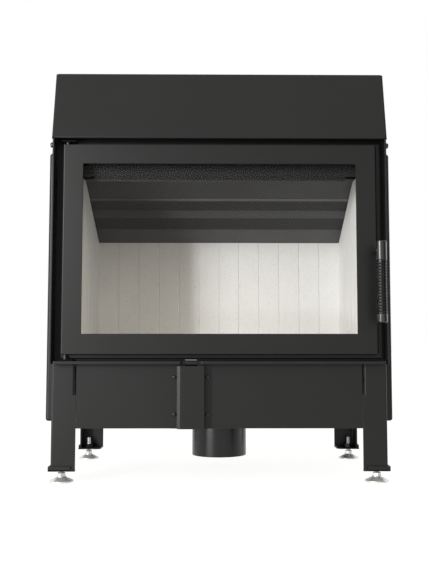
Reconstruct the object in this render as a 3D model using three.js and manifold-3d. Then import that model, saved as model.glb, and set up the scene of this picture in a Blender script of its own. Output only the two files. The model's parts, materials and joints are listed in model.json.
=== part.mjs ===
// Fireplace insert on four legs: a welded steel firebox with a glazed door, a leaning hood and a ledge.
// Millimetres, +Z up. In the working frame Y = 0 is the front face of the legs, +Y runs to the back,
// X = 0 is the middle and Z = 0 the floor. The whole model is then moved so that its origin is the
// middle of its base.
import * as THREE from 'three';
import { mergeVertices } from 'three/addons/utils/BufferGeometryUtils.js';
import Module from 'manifold-3d';

const wasm = await Module();
wasm.setup();

// ---------------------------------------------------------------- driving dimensions
const GAP = 0.3; // clearance between pieces that touch on the real object
const LOOSE_FIT = 2; // end clearance of the plates that only lie in the firebox

// sheet and plate thicknesses
const PLATE = 4; // firebox plate
const SHEET = 3; // frame parts, legs and apron
const THIN_SHEET = 2; // covers and shields

// body
const HOOD_HEIGHT = 149.5;
const HOOD_LEAN = 37; // how far the hood's top edge lies behind its lip
const HOOD_LIP = 9; // bent back along the lower edge
const HOOD_TOP_FLANGE = 26;
const HOOD_SIDE_DEPTH = 56; // depth of the hood's side returns
const HOOD_CLEARANCE = 2.5; // between the upper hinge bracket and the hood's lip
const CHEEK = 3.5; // cheek plate
const CHEEK_CLEARANCE = 2.7; // between a leg and the cheek beside it
const CHEEK_LIP_CLEARANCE = 3; // between a cheek and the hood's bent lip
const CHEEK_TOP_CLEARANCE = 6; // below the hood's top flange
const FIREBOX_WIDTH = 660; // between the steel sides
const FIREBOX_DEPTH = 371; // from the front frame to the back plate
const FIREBOX_HEIGHT = 534; // from the floor plate to the roof

// legs and feet
const LEG_WIDTH = 50;
const LEG_CORNER = 4; // outer corner radius of the angle
const LEG_CLEARANCE = 28; // floor to leg end
const LEG_LENGTH = 211.7;
const TRAY_LIP = 10; // height of a foot tray's outer lip
const TRAY_LIP_LENGTH = 46;
const TRAY_CLEARANCE = 1.5; // between a leg and the tray's lip
const FOOT_DISC_RADIUS = 24.5;
const FOOT_DISC_EDGE = 2.6;
const FOOT_CONE_TOP = 11;
const FOOT_NECK_RADIUS = 8.5;
const FOOT_HEX_FLATS = 15;
const FOOT_HEX_TOP = 19;
const FOOT_STUD_RADIUS = 5;
const FOOT_STUD_TOP = 52;
const FOOT_INSET = 18.2; // from a leg's outer face to the stud's centre
const FOOT_SETBACK = 26.7; // from a leg's front or back face to the stud's centre
const WELD_NUT_FLATS = 17;
const WELD_NUT_HEIGHT = 8;

// ledge and apron
const LEDGE_THICKNESS = 6;
const LEDGE_OVERHANG = 15;
const LEDGE_END_CLEARANCE = 7.2; // between the ledge and a cheek
const LEDGE_CORNER = 3;
const APRON_HEIGHT = 130;
const APRON_SLOT_WIDTH = 3;
const APRON_SLOT_HEIGHT = 63;
const FLOOR_LIP = 60; // side lips of the floor plate, between the legs
const FLOOR_PLATE_OVERHANG = 4.2; // beyond the firebox sides

// air supply
const AIR_CENTRE_X = -58; // centre line of the air lever and its cover
const AIR_COVER_WIDTH = 56;
const AIR_COVER_DEPTH = 17;
const AIR_COVER_FLANGE = 12;
const AIR_COVER_TOP_CLEARANCE = 4; // below the ledge
const AIR_COVER_BEND = 3;
const AIR_BOLT_OFFSET = 34.1; // from the cover's centre line
const AIR_BOLT_RADIUS = 4;
const AIR_BOLT_HEAD = 3.2;
const AIR_BOLT_RIM = 1.9; // straight part of the head
const AIR_BOLT_CROWN_RADIUS = 2.8; // flat end of the head
const AIR_BOLT_LOW = 138.9;
const AIR_BOLT_HIGH = 213.6;
const AIR_NOTCH_WIDTH = 40;
const AIR_NOTCH_DEPTH = 13;
const AIR_LEVER_WIDTH = 24;
const AIR_LEVER_THICKNESS = 2.5;
const AIR_TAB_HEIGHT = 12.6;
const AIR_TAB_SETBACK = 2; // behind the ledge's front edge
const AIR_TRAVEL = 35;
const AIR_PORT_WIDTH = 84;
const AIR_PORT_LENGTH = 33;
const AIR_PORT_OVERLAP = 6; // throttle plate beyond the port
const THROTTLE_CLEARANCE = 3; // to the plenum's front wall when pulled out
const AIR_SLOT_CLEARANCE = 1; // round the lever's bar where it passes a wall
const AIR_TAB_CORNER = 2;
const PLENUM_WIDTH = 220;
const PLENUM_LENGTH = 204;
const PLENUM_HEIGHT = 90;
const SPIGOT_RADIUS = 62.5;
const SPIGOT_CENTRE_Y = 252;
const SPIGOT_BOTTOM = 27;

// side and rear shields
const SHIELD_STANDOFF = 29; // air gap between the firebox side and the shield
const SHIELD_RETURN = 18;
const SHIELD_BEND = 6;
const SHIELD_FRONT_Y = 57;
const SHIELD_LENGTH = 345;
const SHIELD_BOTTOM = 120;
const SHIELD_HEIGHT = 570;
const SPACER_RADIUS = 8;
const SPACER_INSET_ALONG = 45; // spacers from a side shield's front and back edges
const SPACER_INSET_HEIGHT = 60; // spacers from a shield's upper and lower ends
const REAR_SHIELD_STANDOFF = 25;
const REAR_SHIELD_INSET = 34; // from the firebox sides' outer faces
const REAR_SHIELD_RAISE = 40; // above the ledge
const REAR_SHIELD_HEIGHT = 440;
const REAR_SHIELD_RETURN = 12;

// screws on the cheeks
const CHEEK_SCREW_Y = 22;
const CHEEK_SCREW_DROP = 10; // below the hood's lip
const CHEEK_SCREW_RADIUS = 6;
const CHEEK_SCREW_HEAD = 8;
const CHEEK_SCREW_RIM = 3.6; // straight part of the head
const CHEEK_SCREW_CROWN_RADIUS = 3.6; // flat end of the head

// flue
const COLLAR_RADIUS = 99;
const COLLAR_HEIGHT = 100;
const COLLAR_FLANGE = 14;
const COLLAR_CENTRE_Y = 230;

// door
const DOOR_SIDE_CLEARANCE = 17.2; // between the door's face and a cheek
const DOOR_HEIGHT = 436;
const DOOR_SETBACK = 10; // of the door's face behind the legs' faces
const DOOR_DEPTH = 18; // face to the back of the rear flange
const DOOR_CORNER = 3; // bend radius along the door's edges
const DOOR_STILE = 42;
const DOOR_RAIL = 40.4;
const DOOR_RETURN = 2;
const DOOR_SILL = 15.5; // door's bottom edge above the ledge
const DOOR_LAP_SIDE = 24; // how far the door laps over the front frame's opening
const DOOR_LAP_TOP = 7.5;
const DOOR_LAP_BOTTOM = 8.5;
const FLANGE_OVERHANG_RIGHT = 11;
const FLANGE_OVERHANG_LEFT = 2;
const FLANGE_OVERHANG_BOTTOM = 9.5;
const FLANGE_OVERHANG_TOP = 5.5;
const GLASS_THICKNESS = 4;
const GLASS_OVERLAP = 8;
const RETAINER_INSET = 15; // from the window's sides
const RETAINER_GRIP = 6; // how far a retainer laps over the glass
const RETAINER_FOOT = 14; // how far a retainer's foot reaches beyond the glass
const RETAINER_CLEARANCE = 1.5; // between the glass's edge and the retainer's web
const GASKET_WIDTH = 8;
const GASKET_THICKNESS = 5.4;
const GASKET_INSET = 1.5; // from the frame's opening
const HINGE_INSET = 8.5; // hinge axis from the door's left edge
const HINGE_SETBACK = 8; // hinge axis behind the door's face
const HINGE_PIN_RADIUS = 4;
const HINGE_PIN_CLEARANCE = 0.1;
const HINGE_PIN_GRIP = 12; // how far a pin reaches into the door
const HINGE_BRACKET_WIDTH = 30;
const HINGE_BRACKET_MARGIN = 12; // bracket left of the hinge axis
const HINGE_BRACKET_NOSE = 8; // bracket in front of the hinge axis
const HINGE_PIN_HEAD = 1.5; // pin above the upper bracket

// handle and latch
const HANDLE_RADIUS = 11;
const GRIP_RADIUS = 10.4;
const HANDLE_TOP = 489;
const FERRULE_LENGTH = 39;
const GRIP_LENGTH = 108;
const CAP_LENGTH = 18;
const HANDLE_REACH = 45; // handle's axis in front of the door's face
const HANDLE_OFFSET = 7; // handle's axis outside the spindle's axis
const SPINDLE_RADIUS = 4;
const SPINDLE_INSET = 7; // spindle's axis from the door's right edge
const SPINDLE_DROP = 19; // spindle's axis below the handle's top
const CORE_RADIUS = 4.5; // the arm's upright inside ferrule, grip and end cap
const FERRULE_CROWN = 6; // solid top of the ferrule
const CAP_FLOOR = 8; // solid bottom of the end cap
const SPINDLE_TAIL = 3; // spindle beyond the arm's upright
const CAM_HUB_RADIUS = 7;
const CAM_THICKNESS = 4;
const CAM_CLEARANCE = 1; // between the cam and the front frame
const CAM_NOSE_CORNER = 2;
const CAM_NOSE_WIDTH = 10;
const LATCH_PLAY = 0.4; // between the cam's nose and the keeper
const KEEPER_HEIGHT = 36;
const KEEPER_DEPTH = 7;
const KEEPER_CLEARANCE = 1; // between the door's rear flange and the keeper

// linings and inner steel
const LINING = 26;
const LINING_SETBACK = 6; // side linings behind the front frame
const FLOOR_LINING = 30;
const BACK_LINING_HEIGHT = 262;
const SIDE_LINING_RISE = 112; // of a side lining's sloped top, from the back lining to BAFFLE_FRONT_Y
const GROOVE_PITCH = 50.6;
const GROOVE_WIDTH = 3;
const GROOVE_DEPTH = 2.5;
const GROOVE_EDGE = 10; // no groove nearer to a plate's end than this
const BAFFLE_FRONT_Y = 165;
const BAFFLE_THICKNESS = 3;
// the baffle's folds from its back edge forwards: how far each face runs and rises
const BAFFLE_FOLDS = [[30.7, 29.2], [63, 18.9], [11.3, 16], [47.2, 14.2], [1, 7]];
const BAFFLE_FRONT_RISE = 30; // of its last face, which runs up to BAFFLE_FRONT_Y
const DEFLECTOR_DROP = 69; // its lower edge below the top of the frame's opening
const DEFLECTOR_LIP = 10;
const DEFLECTOR_LIP_INSET = 31; // the bent lip ends before the plate does
const DEFLECTOR_END_CLEARANCE = 4; // inside the sides of the frame's opening
const DEFLECTOR_DEPTH = 8; // from the front frame to the deflector's hanging plate
const DEFLECTOR_LIP_DEPTH = 5;
const DEFLECTOR_SEAT = 22; // height fixed to the front frame
const DEFLECTOR_RAISE = 4; // of its shelf above the frame's opening
const LOG_STOP_HEIGHT = 22;
const LOG_STOP_DEPTH = 26;

// facets per quarter turn
const FINE = 8;
const COARSE = 4;

// ---------------------------------------------------------------- derived places
const sideInner = FIREBOX_WIDTH / 2;
const sideOuter = sideInner + PLATE;
const legTop = LEG_CLEARANCE + LEG_LENGTH;
const ledgeBottom = legTop + GAP;
const ledgeTop = ledgeBottom + LEDGE_THICKNESS;
const doorBack = DOOR_SETBACK + DOOR_DEPTH;
const frameFront = doorBack + GASKET_THICKNESS + 2 * GAP;
const frameBack = frameFront + PLATE;
const backPlateFront = frameBack + FIREBOX_DEPTH;
const backPlateBack = backPlateFront + PLATE;
const roofBottom = ledgeTop + FIREBOX_HEIGHT;
const roofTop = roofBottom + PLATE;
const lipOuter = sideOuter + FLOOR_PLATE_OVERHANG;
const legOuter = lipOuter + GAP + SHEET;
const legInner = legOuter - LEG_WIDTH;
const cheekInner = legOuter + CHEEK_CLEARANCE;
const cheekOuter = cheekInner + CHEEK;
const halfHood = cheekOuter + GAP + THIN_SHEET;
const frameHalf = cheekInner - GAP;
const doorBottom = ledgeTop + DOOR_SILL;
const doorTop = doorBottom + DOOR_HEIGHT;
const doorHalf = cheekInner - DOOR_SIDE_CLEARANCE;
const flangeTop = doorTop + FLANGE_OVERHANG_TOP;
const bracketTop = flangeTop + GAP + SHEET;
const hoodBottom = bracketTop + HOOD_CLEARANCE;
const hoodTop = hoodBottom + HOOD_HEIGHT;
const frameOpeningHalf = doorHalf - DOOR_LAP_SIDE;
const frameOpeningBottom = doorBottom + DOOR_LAP_BOTTOM;
const frameOpeningTop = doorTop - DOOR_LAP_TOP;
const hingeX = -doorHalf + HINGE_INSET;
const hingeY = DOOR_SETBACK + HINGE_SETBACK;
const spindleX = doorHalf - SPINDLE_INSET;
const spindleZ = HANDLE_TOP - SPINDLE_DROP;
const handleY = DOOR_SETBACK - HANDLE_REACH;
const liningInner = sideInner - GAP - LINING;
const backLiningFront = backPlateFront - GAP - LINING;
const floorLiningTop = ledgeTop + GAP + FLOOR_LINING;
const liningBottom = floorLiningTop + GAP;
const backLiningTop = liningBottom + BACK_LINING_HEIGHT;
const liningFront = frameBack + LINING_SETBACK;
const shieldInner = sideOuter + SHIELD_STANDOFF;
const shieldOuter = shieldInner + THIN_SHEET;
const rearShieldFront = backPlateBack + REAR_SHIELD_STANDOFF;
const rearShieldBack = rearShieldFront + THIN_SHEET;
const frontMost = handleY - HANDLE_RADIUS;
const centreY = (frontMost + rearShieldBack) / 2;

// ---------------------------------------------------------------- colours and finishes
function finish(color, roughness, metalness) {
  return { color, roughness, metalness };
}
const BLACK_PAINT = finish(0x2b2b2c, 0.5, 0.2);
const DARK_STEEL = finish(0x3a3836, 0.6, 0.5);
const ZINC = finish(0xb9bcbe, 0.35, 0.9);
const HANDLE_STEEL = finish(0x4a4a4b, 0.35, 0.8);
const VERMICULITE = finish(0xded9cc, 0.95, 0);
const CERAMIC_GLASS = finish(0x3a3632, 0.05, 0);
const ROPE = finish(0x2a2927, 0.95, 0);

// ---------------------------------------------------------------- solids
function toManifold(geometry) {
  const plain = geometry.index ? geometry.toNonIndexed() : geometry.clone();
  plain.deleteAttribute('normal');
  plain.deleteAttribute('uv');
  const merged = mergeVertices(plain, 1e-4);
  return new wasm.Manifold(new wasm.Mesh({
    numProp: 3,
    vertProperties: new Float32Array(merged.attributes.position.array),
    triVerts: new Uint32Array(merged.index.array),
  }));
}

function toGeometry(solid) {
  const mesh = solid.getMesh();
  const geometry = new THREE.BufferGeometry();
  geometry.setAttribute('position', new THREE.BufferAttribute(new Float32Array(mesh.vertProperties), 3));
  geometry.setIndex(new THREE.BufferAttribute(new Uint32Array(mesh.triVerts), 1));
  geometry.computeVertexNormals();
  return geometry;
}

function join(...geometries) {
  return toGeometry(geometries.map(toManifold).reduce((whole, piece) => whole.add(piece)));
}

function cut(base, ...tools) {
  return toGeometry(tools.map(toManifold).reduce((whole, tool) => whole.subtract(tool), toManifold(base)));
}

function block(xa, xb, ya, yb, za, zb) {
  const geometry = new THREE.BoxGeometry(Math.abs(xb - xa), Math.abs(yb - ya), Math.abs(zb - za));
  return geometry.translate((xa + xb) / 2, (ya + yb) / 2, (za + zb) / 2);
}

// a block between side * xa and side * xb
function sideBlock(side, xa, xb, ya, yb, za, zb) {
  return block(side * xa, side * xb, ya, yb, za, zb);
}

function outline(points) {
  return new THREE.Shape(points.map(([u, v]) => new THREE.Vector2(u, v)));
}

// a rectangle with each corner rounded: radii in the order low-low, high-low, high-high, low-high
function roundedRectangle(ua, ub, va, vb, radii) {
  const [u0, u1] = [Math.min(ua, ub), Math.max(ua, ub)];
  const shape = new THREE.Shape();
  shape.moveTo(u0 + radii[0], va);
  shape.lineTo(u1 - radii[1], va);
  if (radii[1] > 0) shape.absarc(u1 - radii[1], va + radii[1], radii[1], -Math.PI / 2, 0);
  shape.lineTo(u1, vb - radii[2]);
  if (radii[2] > 0) shape.absarc(u1 - radii[2], vb - radii[2], radii[2], 0, Math.PI / 2);
  shape.lineTo(u0 + radii[3], vb);
  if (radii[3] > 0) shape.absarc(u0 + radii[3], vb - radii[3], radii[3], Math.PI / 2, Math.PI);
  shape.lineTo(u0, va + radii[0]);
  if (radii[0] > 0) shape.absarc(u0 + radii[0], va + radii[0], radii[0], Math.PI, Math.PI * 1.5);
  return shape;
}

function extrude(shape, length) {
  return new THREE.ExtrudeGeometry(shape, { depth: length, bevelEnabled: false, curveSegments: COARSE });
}

// an outline in (x, y) carried up Z
function prismZ(shape, za, zb) {
  return extrude(shape, zb - za).translate(0, 0, za);
}

// an outline in (x, z) carried along Y
function prismY(shape, ya, yb) {
  return extrude(shape, yb - ya).rotateX(Math.PI / 2).translate(0, yb, 0);
}

// an outline in (y, z) carried along X
function prismX(shape, xa, xb) {
  const cycle = new THREE.Matrix4().makeBasis(
    new THREE.Vector3(0, 1, 0), new THREE.Vector3(0, 0, 1), new THREE.Vector3(1, 0, 0));
  return extrude(shape, Math.abs(xb - xa)).applyMatrix4(cycle).translate(Math.min(xa, xb), 0, 0);
}

// a turned solid about Z from (radius, height) points
function turned(points, quarterFacets = FINE) {
  return new THREE.LatheGeometry(points.map(([r, z]) => new THREE.Vector2(r, z)), 4 * quarterFacets)
    .rotateX(Math.PI / 2);
}

function rod(radius, za, zb, quarterFacets = COARSE) {
  return turned([[0, za], [radius, za], [radius, zb], [0, zb]], quarterFacets);
}

// a rod lying along Y
function rodY(radius, ya, yb, quarterFacets = COARSE) {
  return rod(radius, ya, yb, quarterFacets).rotateX(-Math.PI / 2);
}

function rodX(radius, xa, xb, quarterFacets = COARSE) {
  return rod(radius, xa, xb, quarterFacets).rotateY(Math.PI / 2);
}

function tube(outer, inner, za, zb, quarterFacets = FINE) {
  return turned([[inner, za], [outer, za], [outer, zb], [inner, zb], [inner, za]], quarterFacets);
}

function hexagon(flats, za, zb) {
  const radius = flats / Math.sqrt(3);
  return turned([[0, za], [radius, za], [radius, zb], [0, zb]], 1.5);
}

// a flat ring between two rectangles in (x, z)
function frameRing(outer, inner, ya, yb, corner = 0) {
  const [x0, x1, z0, z1] = outer;
  const [a0, a1, b0, b1] = inner;
  const ring = prismY(roundedRectangle(x0, x1, z0, z1, [corner, corner, corner, corner]), ya, yb);
  return cut(ring, block(a0, a1, ya - 1, yb + 1, b0, b1));
}

const insert = new THREE.Group();
const working = new THREE.Group();
working.position.set(0, -centreY, 0);
insert.add(working);

function add(group, name, geometry, look, place = [0, 0, 0]) {
  const mesh = new THREE.Mesh(geometry, new THREE.MeshStandardMaterial(look));
  mesh.name = name;
  mesh.position.set(...place);
  group.add(mesh);
  return mesh;
}

const SIDES = [['left', -1], ['right', 1]];

// ---------------------------------------------------------------- firebox
function makeFirebox() {
  for (const [word, side] of SIDES) {
    add(working, `firebox_side_${word}`,
      sideBlock(side, sideInner, sideOuter, frameBack + GAP, backPlateFront - GAP,
        ledgeTop + GAP, roofBottom - GAP),
      DARK_STEEL);
  }
  add(working, 'firebox_back',
    block(-sideOuter, sideOuter, backPlateFront, backPlateBack, ledgeTop + GAP, roofBottom - GAP),
    BLACK_PAINT);
  const roof = block(-sideOuter, sideOuter, frameBack + GAP, backPlateBack, roofBottom, roofTop);
  const flueHole = rod(COLLAR_RADIUS - THIN_SHEET, roofBottom - 1, roofTop + 1, FINE)
    .translate(0, COLLAR_CENTRE_Y, 0);
  add(working, 'firebox_roof', cut(roof, flueHole), BLACK_PAINT);
}

// ---------------------------------------------------------------- air port and throttle places
const leverTop = ledgeBottom - 2 * GAP;
const leverBottom = leverTop - AIR_LEVER_THICKNESS;
const plenumFront = SPIGOT_CENTRE_Y - PLENUM_LENGTH / 2;
const plenumBack = SPIGOT_CENTRE_Y + PLENUM_LENGTH / 2;
const throttleFront = plenumFront + THIN_SHEET + AIR_TRAVEL + THROTTLE_CLEARANCE;
const portFront = throttleFront + AIR_TRAVEL;
const portBack = portFront + AIR_PORT_LENGTH;
const throttleBack = portBack + AIR_PORT_OVERLAP;

function makeFloorPlate() {
  const plate = block(-lipOuter, lipOuter, frameFront, backPlateBack, ledgeBottom, ledgeTop);
  const port = block(AIR_CENTRE_X - AIR_PORT_WIDTH / 2, AIR_CENTRE_X + AIR_PORT_WIDTH / 2,
    portFront, portBack, ledgeBottom - 1, ledgeTop + 1);
  const lips = SIDES.map(([, side]) => sideBlock(side, lipOuter - SHEET, lipOuter,
    frameFront, backPlateBack - SHEET - GAP, ledgeBottom - FLOOR_LIP, ledgeTop - 1));
  add(working, 'floor_plate', cut(join(plate, ...lips), port), BLACK_PAINT);
}

function makeFrontFrame() {
  add(working, 'front_frame',
    frameRing([-frameHalf, frameHalf, ledgeTop + GAP, roofTop],
      [-frameOpeningHalf, frameOpeningHalf, frameOpeningBottom, frameOpeningTop], frameFront, frameBack),
    BLACK_PAINT);
}

// the hood's front line: how far behind the legs' faces it lies at height z
function hoodLine(z) {
  return HOOD_LEAN * (z - hoodBottom) / HOOD_HEIGHT;
}

function makeCheeks() {
  const lipClear = hoodBottom - GAP;
  const notchBack = HOOD_LIP + CHEEK_LIP_CLEARANCE;
  const leanClear = THIN_SHEET * Math.hypot(HOOD_LEAN, HOOD_HEIGHT) / HOOD_HEIGHT + GAP;
  const notchTop = hoodBottom + (notchBack - leanClear) * HOOD_HEIGHT / HOOD_LEAN;
  const cheekTop = hoodTop - THIN_SHEET - CHEEK_TOP_CLEARANCE;
  const shape = outline([
    [0, ledgeBottom], [HOOD_SIDE_DEPTH, ledgeBottom], [HOOD_SIDE_DEPTH, cheekTop],
    [hoodLine(cheekTop) + leanClear, cheekTop], [notchBack, notchTop], [notchBack, lipClear], [0, lipClear],
  ]);
  for (const [word, side] of SIDES) {
    add(working, `cheek_${word}`, prismX(shape, side * cheekInner, side * cheekOuter), BLACK_PAINT);
    const head = turned([[0, 0], [CHEEK_SCREW_RADIUS, 0], [CHEEK_SCREW_RADIUS, CHEEK_SCREW_RIM],
      [CHEEK_SCREW_CROWN_RADIUS, CHEEK_SCREW_HEAD], [0, CHEEK_SCREW_HEAD]], COARSE)
      .rotateY(side * Math.PI / 2);
    add(working, `cheek_screw_${word}`, head, BLACK_PAINT,
      [side * (cheekOuter + GAP), CHEEK_SCREW_Y, hoodBottom - CHEEK_SCREW_DROP]);
  }
}

function makeHood() {
  const t = THIN_SHEET;
  const along = t * Math.hypot(HOOD_LEAN, HOOD_HEIGHT) / HOOD_HEIGHT;
  const innerHalf = halfHood - t;
  const sheet = outline([
    [HOOD_LIP, hoodBottom], [0, hoodBottom], [HOOD_LEAN, hoodTop], [HOOD_LEAN + HOOD_TOP_FLANGE, hoodTop],
    [HOOD_LEAN + HOOD_TOP_FLANGE, hoodTop - t], [hoodLine(hoodTop - t) + along, hoodTop - t],
    [hoodLine(hoodBottom + t) + along, hoodBottom + t], [HOOD_LIP, hoodBottom + t],
  ]);
  const sideShape = outline([
    [0, hoodBottom], [HOOD_LEAN, hoodTop], [HOOD_SIDE_DEPTH, hoodTop], [HOOD_SIDE_DEPTH, hoodBottom]]);
  const returns = SIDES.map(([, side]) => prismX(sideShape, side * innerHalf, side * halfHood));
  add(working, 'hood', join(prismX(sheet, -innerHalf - t / 2, innerHalf + t / 2), ...returns), BLACK_PAINT);
}

function makeFlueCollar() {
  const base = roofTop + GAP;
  const inner = COLLAR_RADIUS - THIN_SHEET;
  const wall = turned([[inner, base], [COLLAR_RADIUS + COLLAR_FLANGE, base],
    [COLLAR_RADIUS + COLLAR_FLANGE, base + SHEET], [COLLAR_RADIUS, base + SHEET],
    [COLLAR_RADIUS, base + COLLAR_HEIGHT], [inner, base + COLLAR_HEIGHT], [inner, base]], FINE + 1);
  add(working, 'flue_collar', wall, BLACK_PAINT, [0, COLLAR_CENTRE_Y, 0]);
}

// ---------------------------------------------------------------- legs, trays and feet
const rearCorner = backPlateBack;

// an L outline with its outer corner at (cornerX, cornerY), opening along signX and signY
function angleOutline(cornerX, cornerY, signX, signY, width, thickness, radius) {
  const shape = new THREE.Shape();
  const at = (u, v) => [cornerX + signX * u, cornerY + signY * v];
  shape.moveTo(...at(radius, 0));
  shape.lineTo(...at(width, 0));
  shape.lineTo(...at(width, thickness));
  shape.lineTo(...at(thickness, thickness));
  shape.lineTo(...at(thickness, width));
  shape.lineTo(...at(0, width));
  shape.lineTo(...at(0, radius));
  for (let step = 1; step < COARSE; step += 1) {
    const turn = (Math.PI / 2) * step / COARSE;
    shape.lineTo(...at(radius - radius * Math.cos(turn), radius - radius * Math.sin(turn)));
  }
  return shape;
}

function makeTray(side, rear) {
  const face = rear ? rearCorner : 0;
  const inward = rear ? -1 : 1;
  const reach = TRAY_CLEARANCE + SHEET;
  const bottom = LEG_CLEARANCE - GAP - SHEET;
  const top = LEG_CLEARANCE - GAP;
  const footX = side * (legOuter - FOOT_INSET);
  const footY = face + inward * FOOT_SETBACK;
  const plate = sideBlock(side, legInner, legOuter + reach,
    face - inward * reach, face + inward * LEG_WIDTH, bottom, top);
  const outerLip = sideBlock(side, legOuter + TRAY_CLEARANCE, legOuter + reach,
    face - inward * reach, face + inward * TRAY_LIP_LENGTH, bottom, bottom + TRAY_LIP);
  const faceLip = sideBlock(side, legOuter + reach - TRAY_LIP_LENGTH, legOuter + reach,
    face - inward * reach, face - inward * TRAY_CLEARANCE, bottom, bottom + TRAY_LIP);
  const nut = hexagon(WELD_NUT_FLATS, top - 0.5, top + WELD_NUT_HEIGHT).translate(footX, footY, 0);
  const bore = rod(FOOT_STUD_RADIUS + GAP, bottom - 1, top + WELD_NUT_HEIGHT + 1, COARSE)
    .translate(footX, footY, 0);
  return cut(join(plate, outerLip, faceLip, nut), bore);
}

function makeLegsAndFeet() {
  for (const [word, side] of SIDES) {
    for (const [endWord, rear] of [['front', false], ['rear', true]]) {
      const name = `${endWord}_${word}`;
      const face = rear ? rearCorner : 0;
      const inward = rear ? -1 : 1;
      const shape = angleOutline(side * legOuter, face, -side, inward, LEG_WIDTH, SHEET, LEG_CORNER);
      add(working, `leg_${name}`, prismZ(shape, LEG_CLEARANCE, legTop), BLACK_PAINT);
      add(working, `foot_tray_${name}`, makeTray(side, rear), BLACK_PAINT);
      const foot = join(
        turned([[0, 0], [FOOT_DISC_RADIUS, 0], [FOOT_DISC_RADIUS, FOOT_DISC_EDGE],
          [FOOT_NECK_RADIUS, FOOT_CONE_TOP], [0, FOOT_CONE_TOP]], FINE - 2),
        hexagon(FOOT_HEX_FLATS, FOOT_CONE_TOP - 1, FOOT_HEX_TOP),
        rod(FOOT_STUD_RADIUS, FOOT_HEX_TOP - 1, FOOT_STUD_TOP, COARSE),
      );
      add(working, `levelling_foot_${name}`, foot, ZINC,
        [side * (legOuter - FOOT_INSET), face + inward * FOOT_SETBACK, 0]);
    }
  }
}

// ---------------------------------------------------------------- ledge, apron and air supply
const apronBottom = legTop - APRON_HEIGHT + GAP;
const tabFront = -LEDGE_OVERHANG + AIR_TAB_SETBACK;

function makeLedge() {
  const half = cheekInner - LEDGE_END_CLEARANCE;
  const plate = prismZ(roundedRectangle(-half, half, -LEDGE_OVERHANG, frameFront - GAP,
    [LEDGE_CORNER, LEDGE_CORNER, 0, 0]), ledgeBottom, ledgeTop);
  const notch = block(AIR_CENTRE_X - AIR_NOTCH_WIDTH / 2, AIR_CENTRE_X + AIR_NOTCH_WIDTH / 2,
    -LEDGE_OVERHANG - 1, -LEDGE_OVERHANG + AIR_NOTCH_DEPTH, ledgeBottom - 1, ledgeTop + 1);
  add(working, 'ledge', cut(plate, notch), BLACK_PAINT);
}

// the slot that the air lever's bar passes through in a wall between two depths
function leverPassage(front, back) {
  const half = AIR_LEVER_WIDTH / 2 + AIR_SLOT_CLEARANCE;
  return block(AIR_CENTRE_X - half, AIR_CENTRE_X + half, front - 1, back + 1,
    leverBottom - AIR_SLOT_CLEARANCE, ledgeBottom + 1);
}

function makeApron() {
  const half = legInner - GAP;
  const plate = block(-half, half, 0, SHEET, apronBottom, legTop);
  const slots = SIDES.map(([, side]) => sideBlock(side, half - APRON_SLOT_WIDTH, half + 1, -1, SHEET + 1,
    legTop - APRON_SLOT_HEIGHT, legTop + 1));
  add(working, 'apron', cut(plate, ...slots, leverPassage(0, SHEET)), BLACK_PAINT);
}

function makeAirCover() {
  const half = AIR_COVER_WIDTH / 2;
  const flangeBack = -GAP;
  const flangeFront = flangeBack - THIN_SHEET;
  const coverTop = ledgeBottom - AIR_COVER_TOP_CLEARANCE;
  const bend = AIR_COVER_BEND;
  const channel = prismZ(roundedRectangle(AIR_CENTRE_X - half, AIR_CENTRE_X + half,
    -AIR_COVER_DEPTH, flangeBack, [bend, bend, 0, 0]), apronBottom, coverTop);
  const hollow = block(AIR_CENTRE_X - half + THIN_SHEET, AIR_CENTRE_X + half - THIN_SHEET,
    -AIR_COVER_DEPTH + THIN_SHEET, 1, apronBottom - 1, coverTop + 1);
  const flange = block(AIR_CENTRE_X - half - AIR_COVER_FLANGE, AIR_CENTRE_X + half + AIR_COVER_FLANGE,
    flangeFront, flangeBack, apronBottom, coverTop);
  add(working, 'air_linkage_cover', cut(join(channel, flange), hollow), BLACK_PAINT);
  for (const [word, side] of SIDES) {
    for (const [heightWord, z] of [['lower', AIR_BOLT_LOW], ['upper', AIR_BOLT_HIGH]]) {
      const head = turned([[0, 0], [AIR_BOLT_RADIUS, 0], [AIR_BOLT_RADIUS, AIR_BOLT_RIM],
        [AIR_BOLT_CROWN_RADIUS, AIR_BOLT_HEAD], [0, AIR_BOLT_HEAD]], COARSE).rotateX(Math.PI / 2);
      add(working, `cover_bolt_${heightWord}_${word}`, head, BLACK_PAINT,
        [AIR_CENTRE_X + side * AIR_BOLT_OFFSET, flangeFront - GAP, z]);
    }
  }
}

function makeAirLever() {
  const half = AIR_LEVER_WIDTH / 2;
  const [x0, x1] = [AIR_CENTRE_X - half, AIR_CENTRE_X + half];
  const bar = block(x0, x1, tabFront, throttleFront + 1, leverBottom, leverTop);
  const tab = prismY(roundedRectangle(x0, x1, leverBottom, leverBottom + AIR_TAB_HEIGHT,
    [0, 0, AIR_TAB_CORNER, AIR_TAB_CORNER]), tabFront, tabFront + AIR_LEVER_THICKNESS);
  const throttleHalf = AIR_PORT_WIDTH / 2 + AIR_PORT_OVERLAP;
  const throttle = block(AIR_CENTRE_X - throttleHalf, AIR_CENTRE_X + throttleHalf,
    throttleFront, throttleBack, leverBottom, leverTop);
  add(working, 'air_lever', join(bar, tab, throttle), BLACK_PAINT);
}

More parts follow.
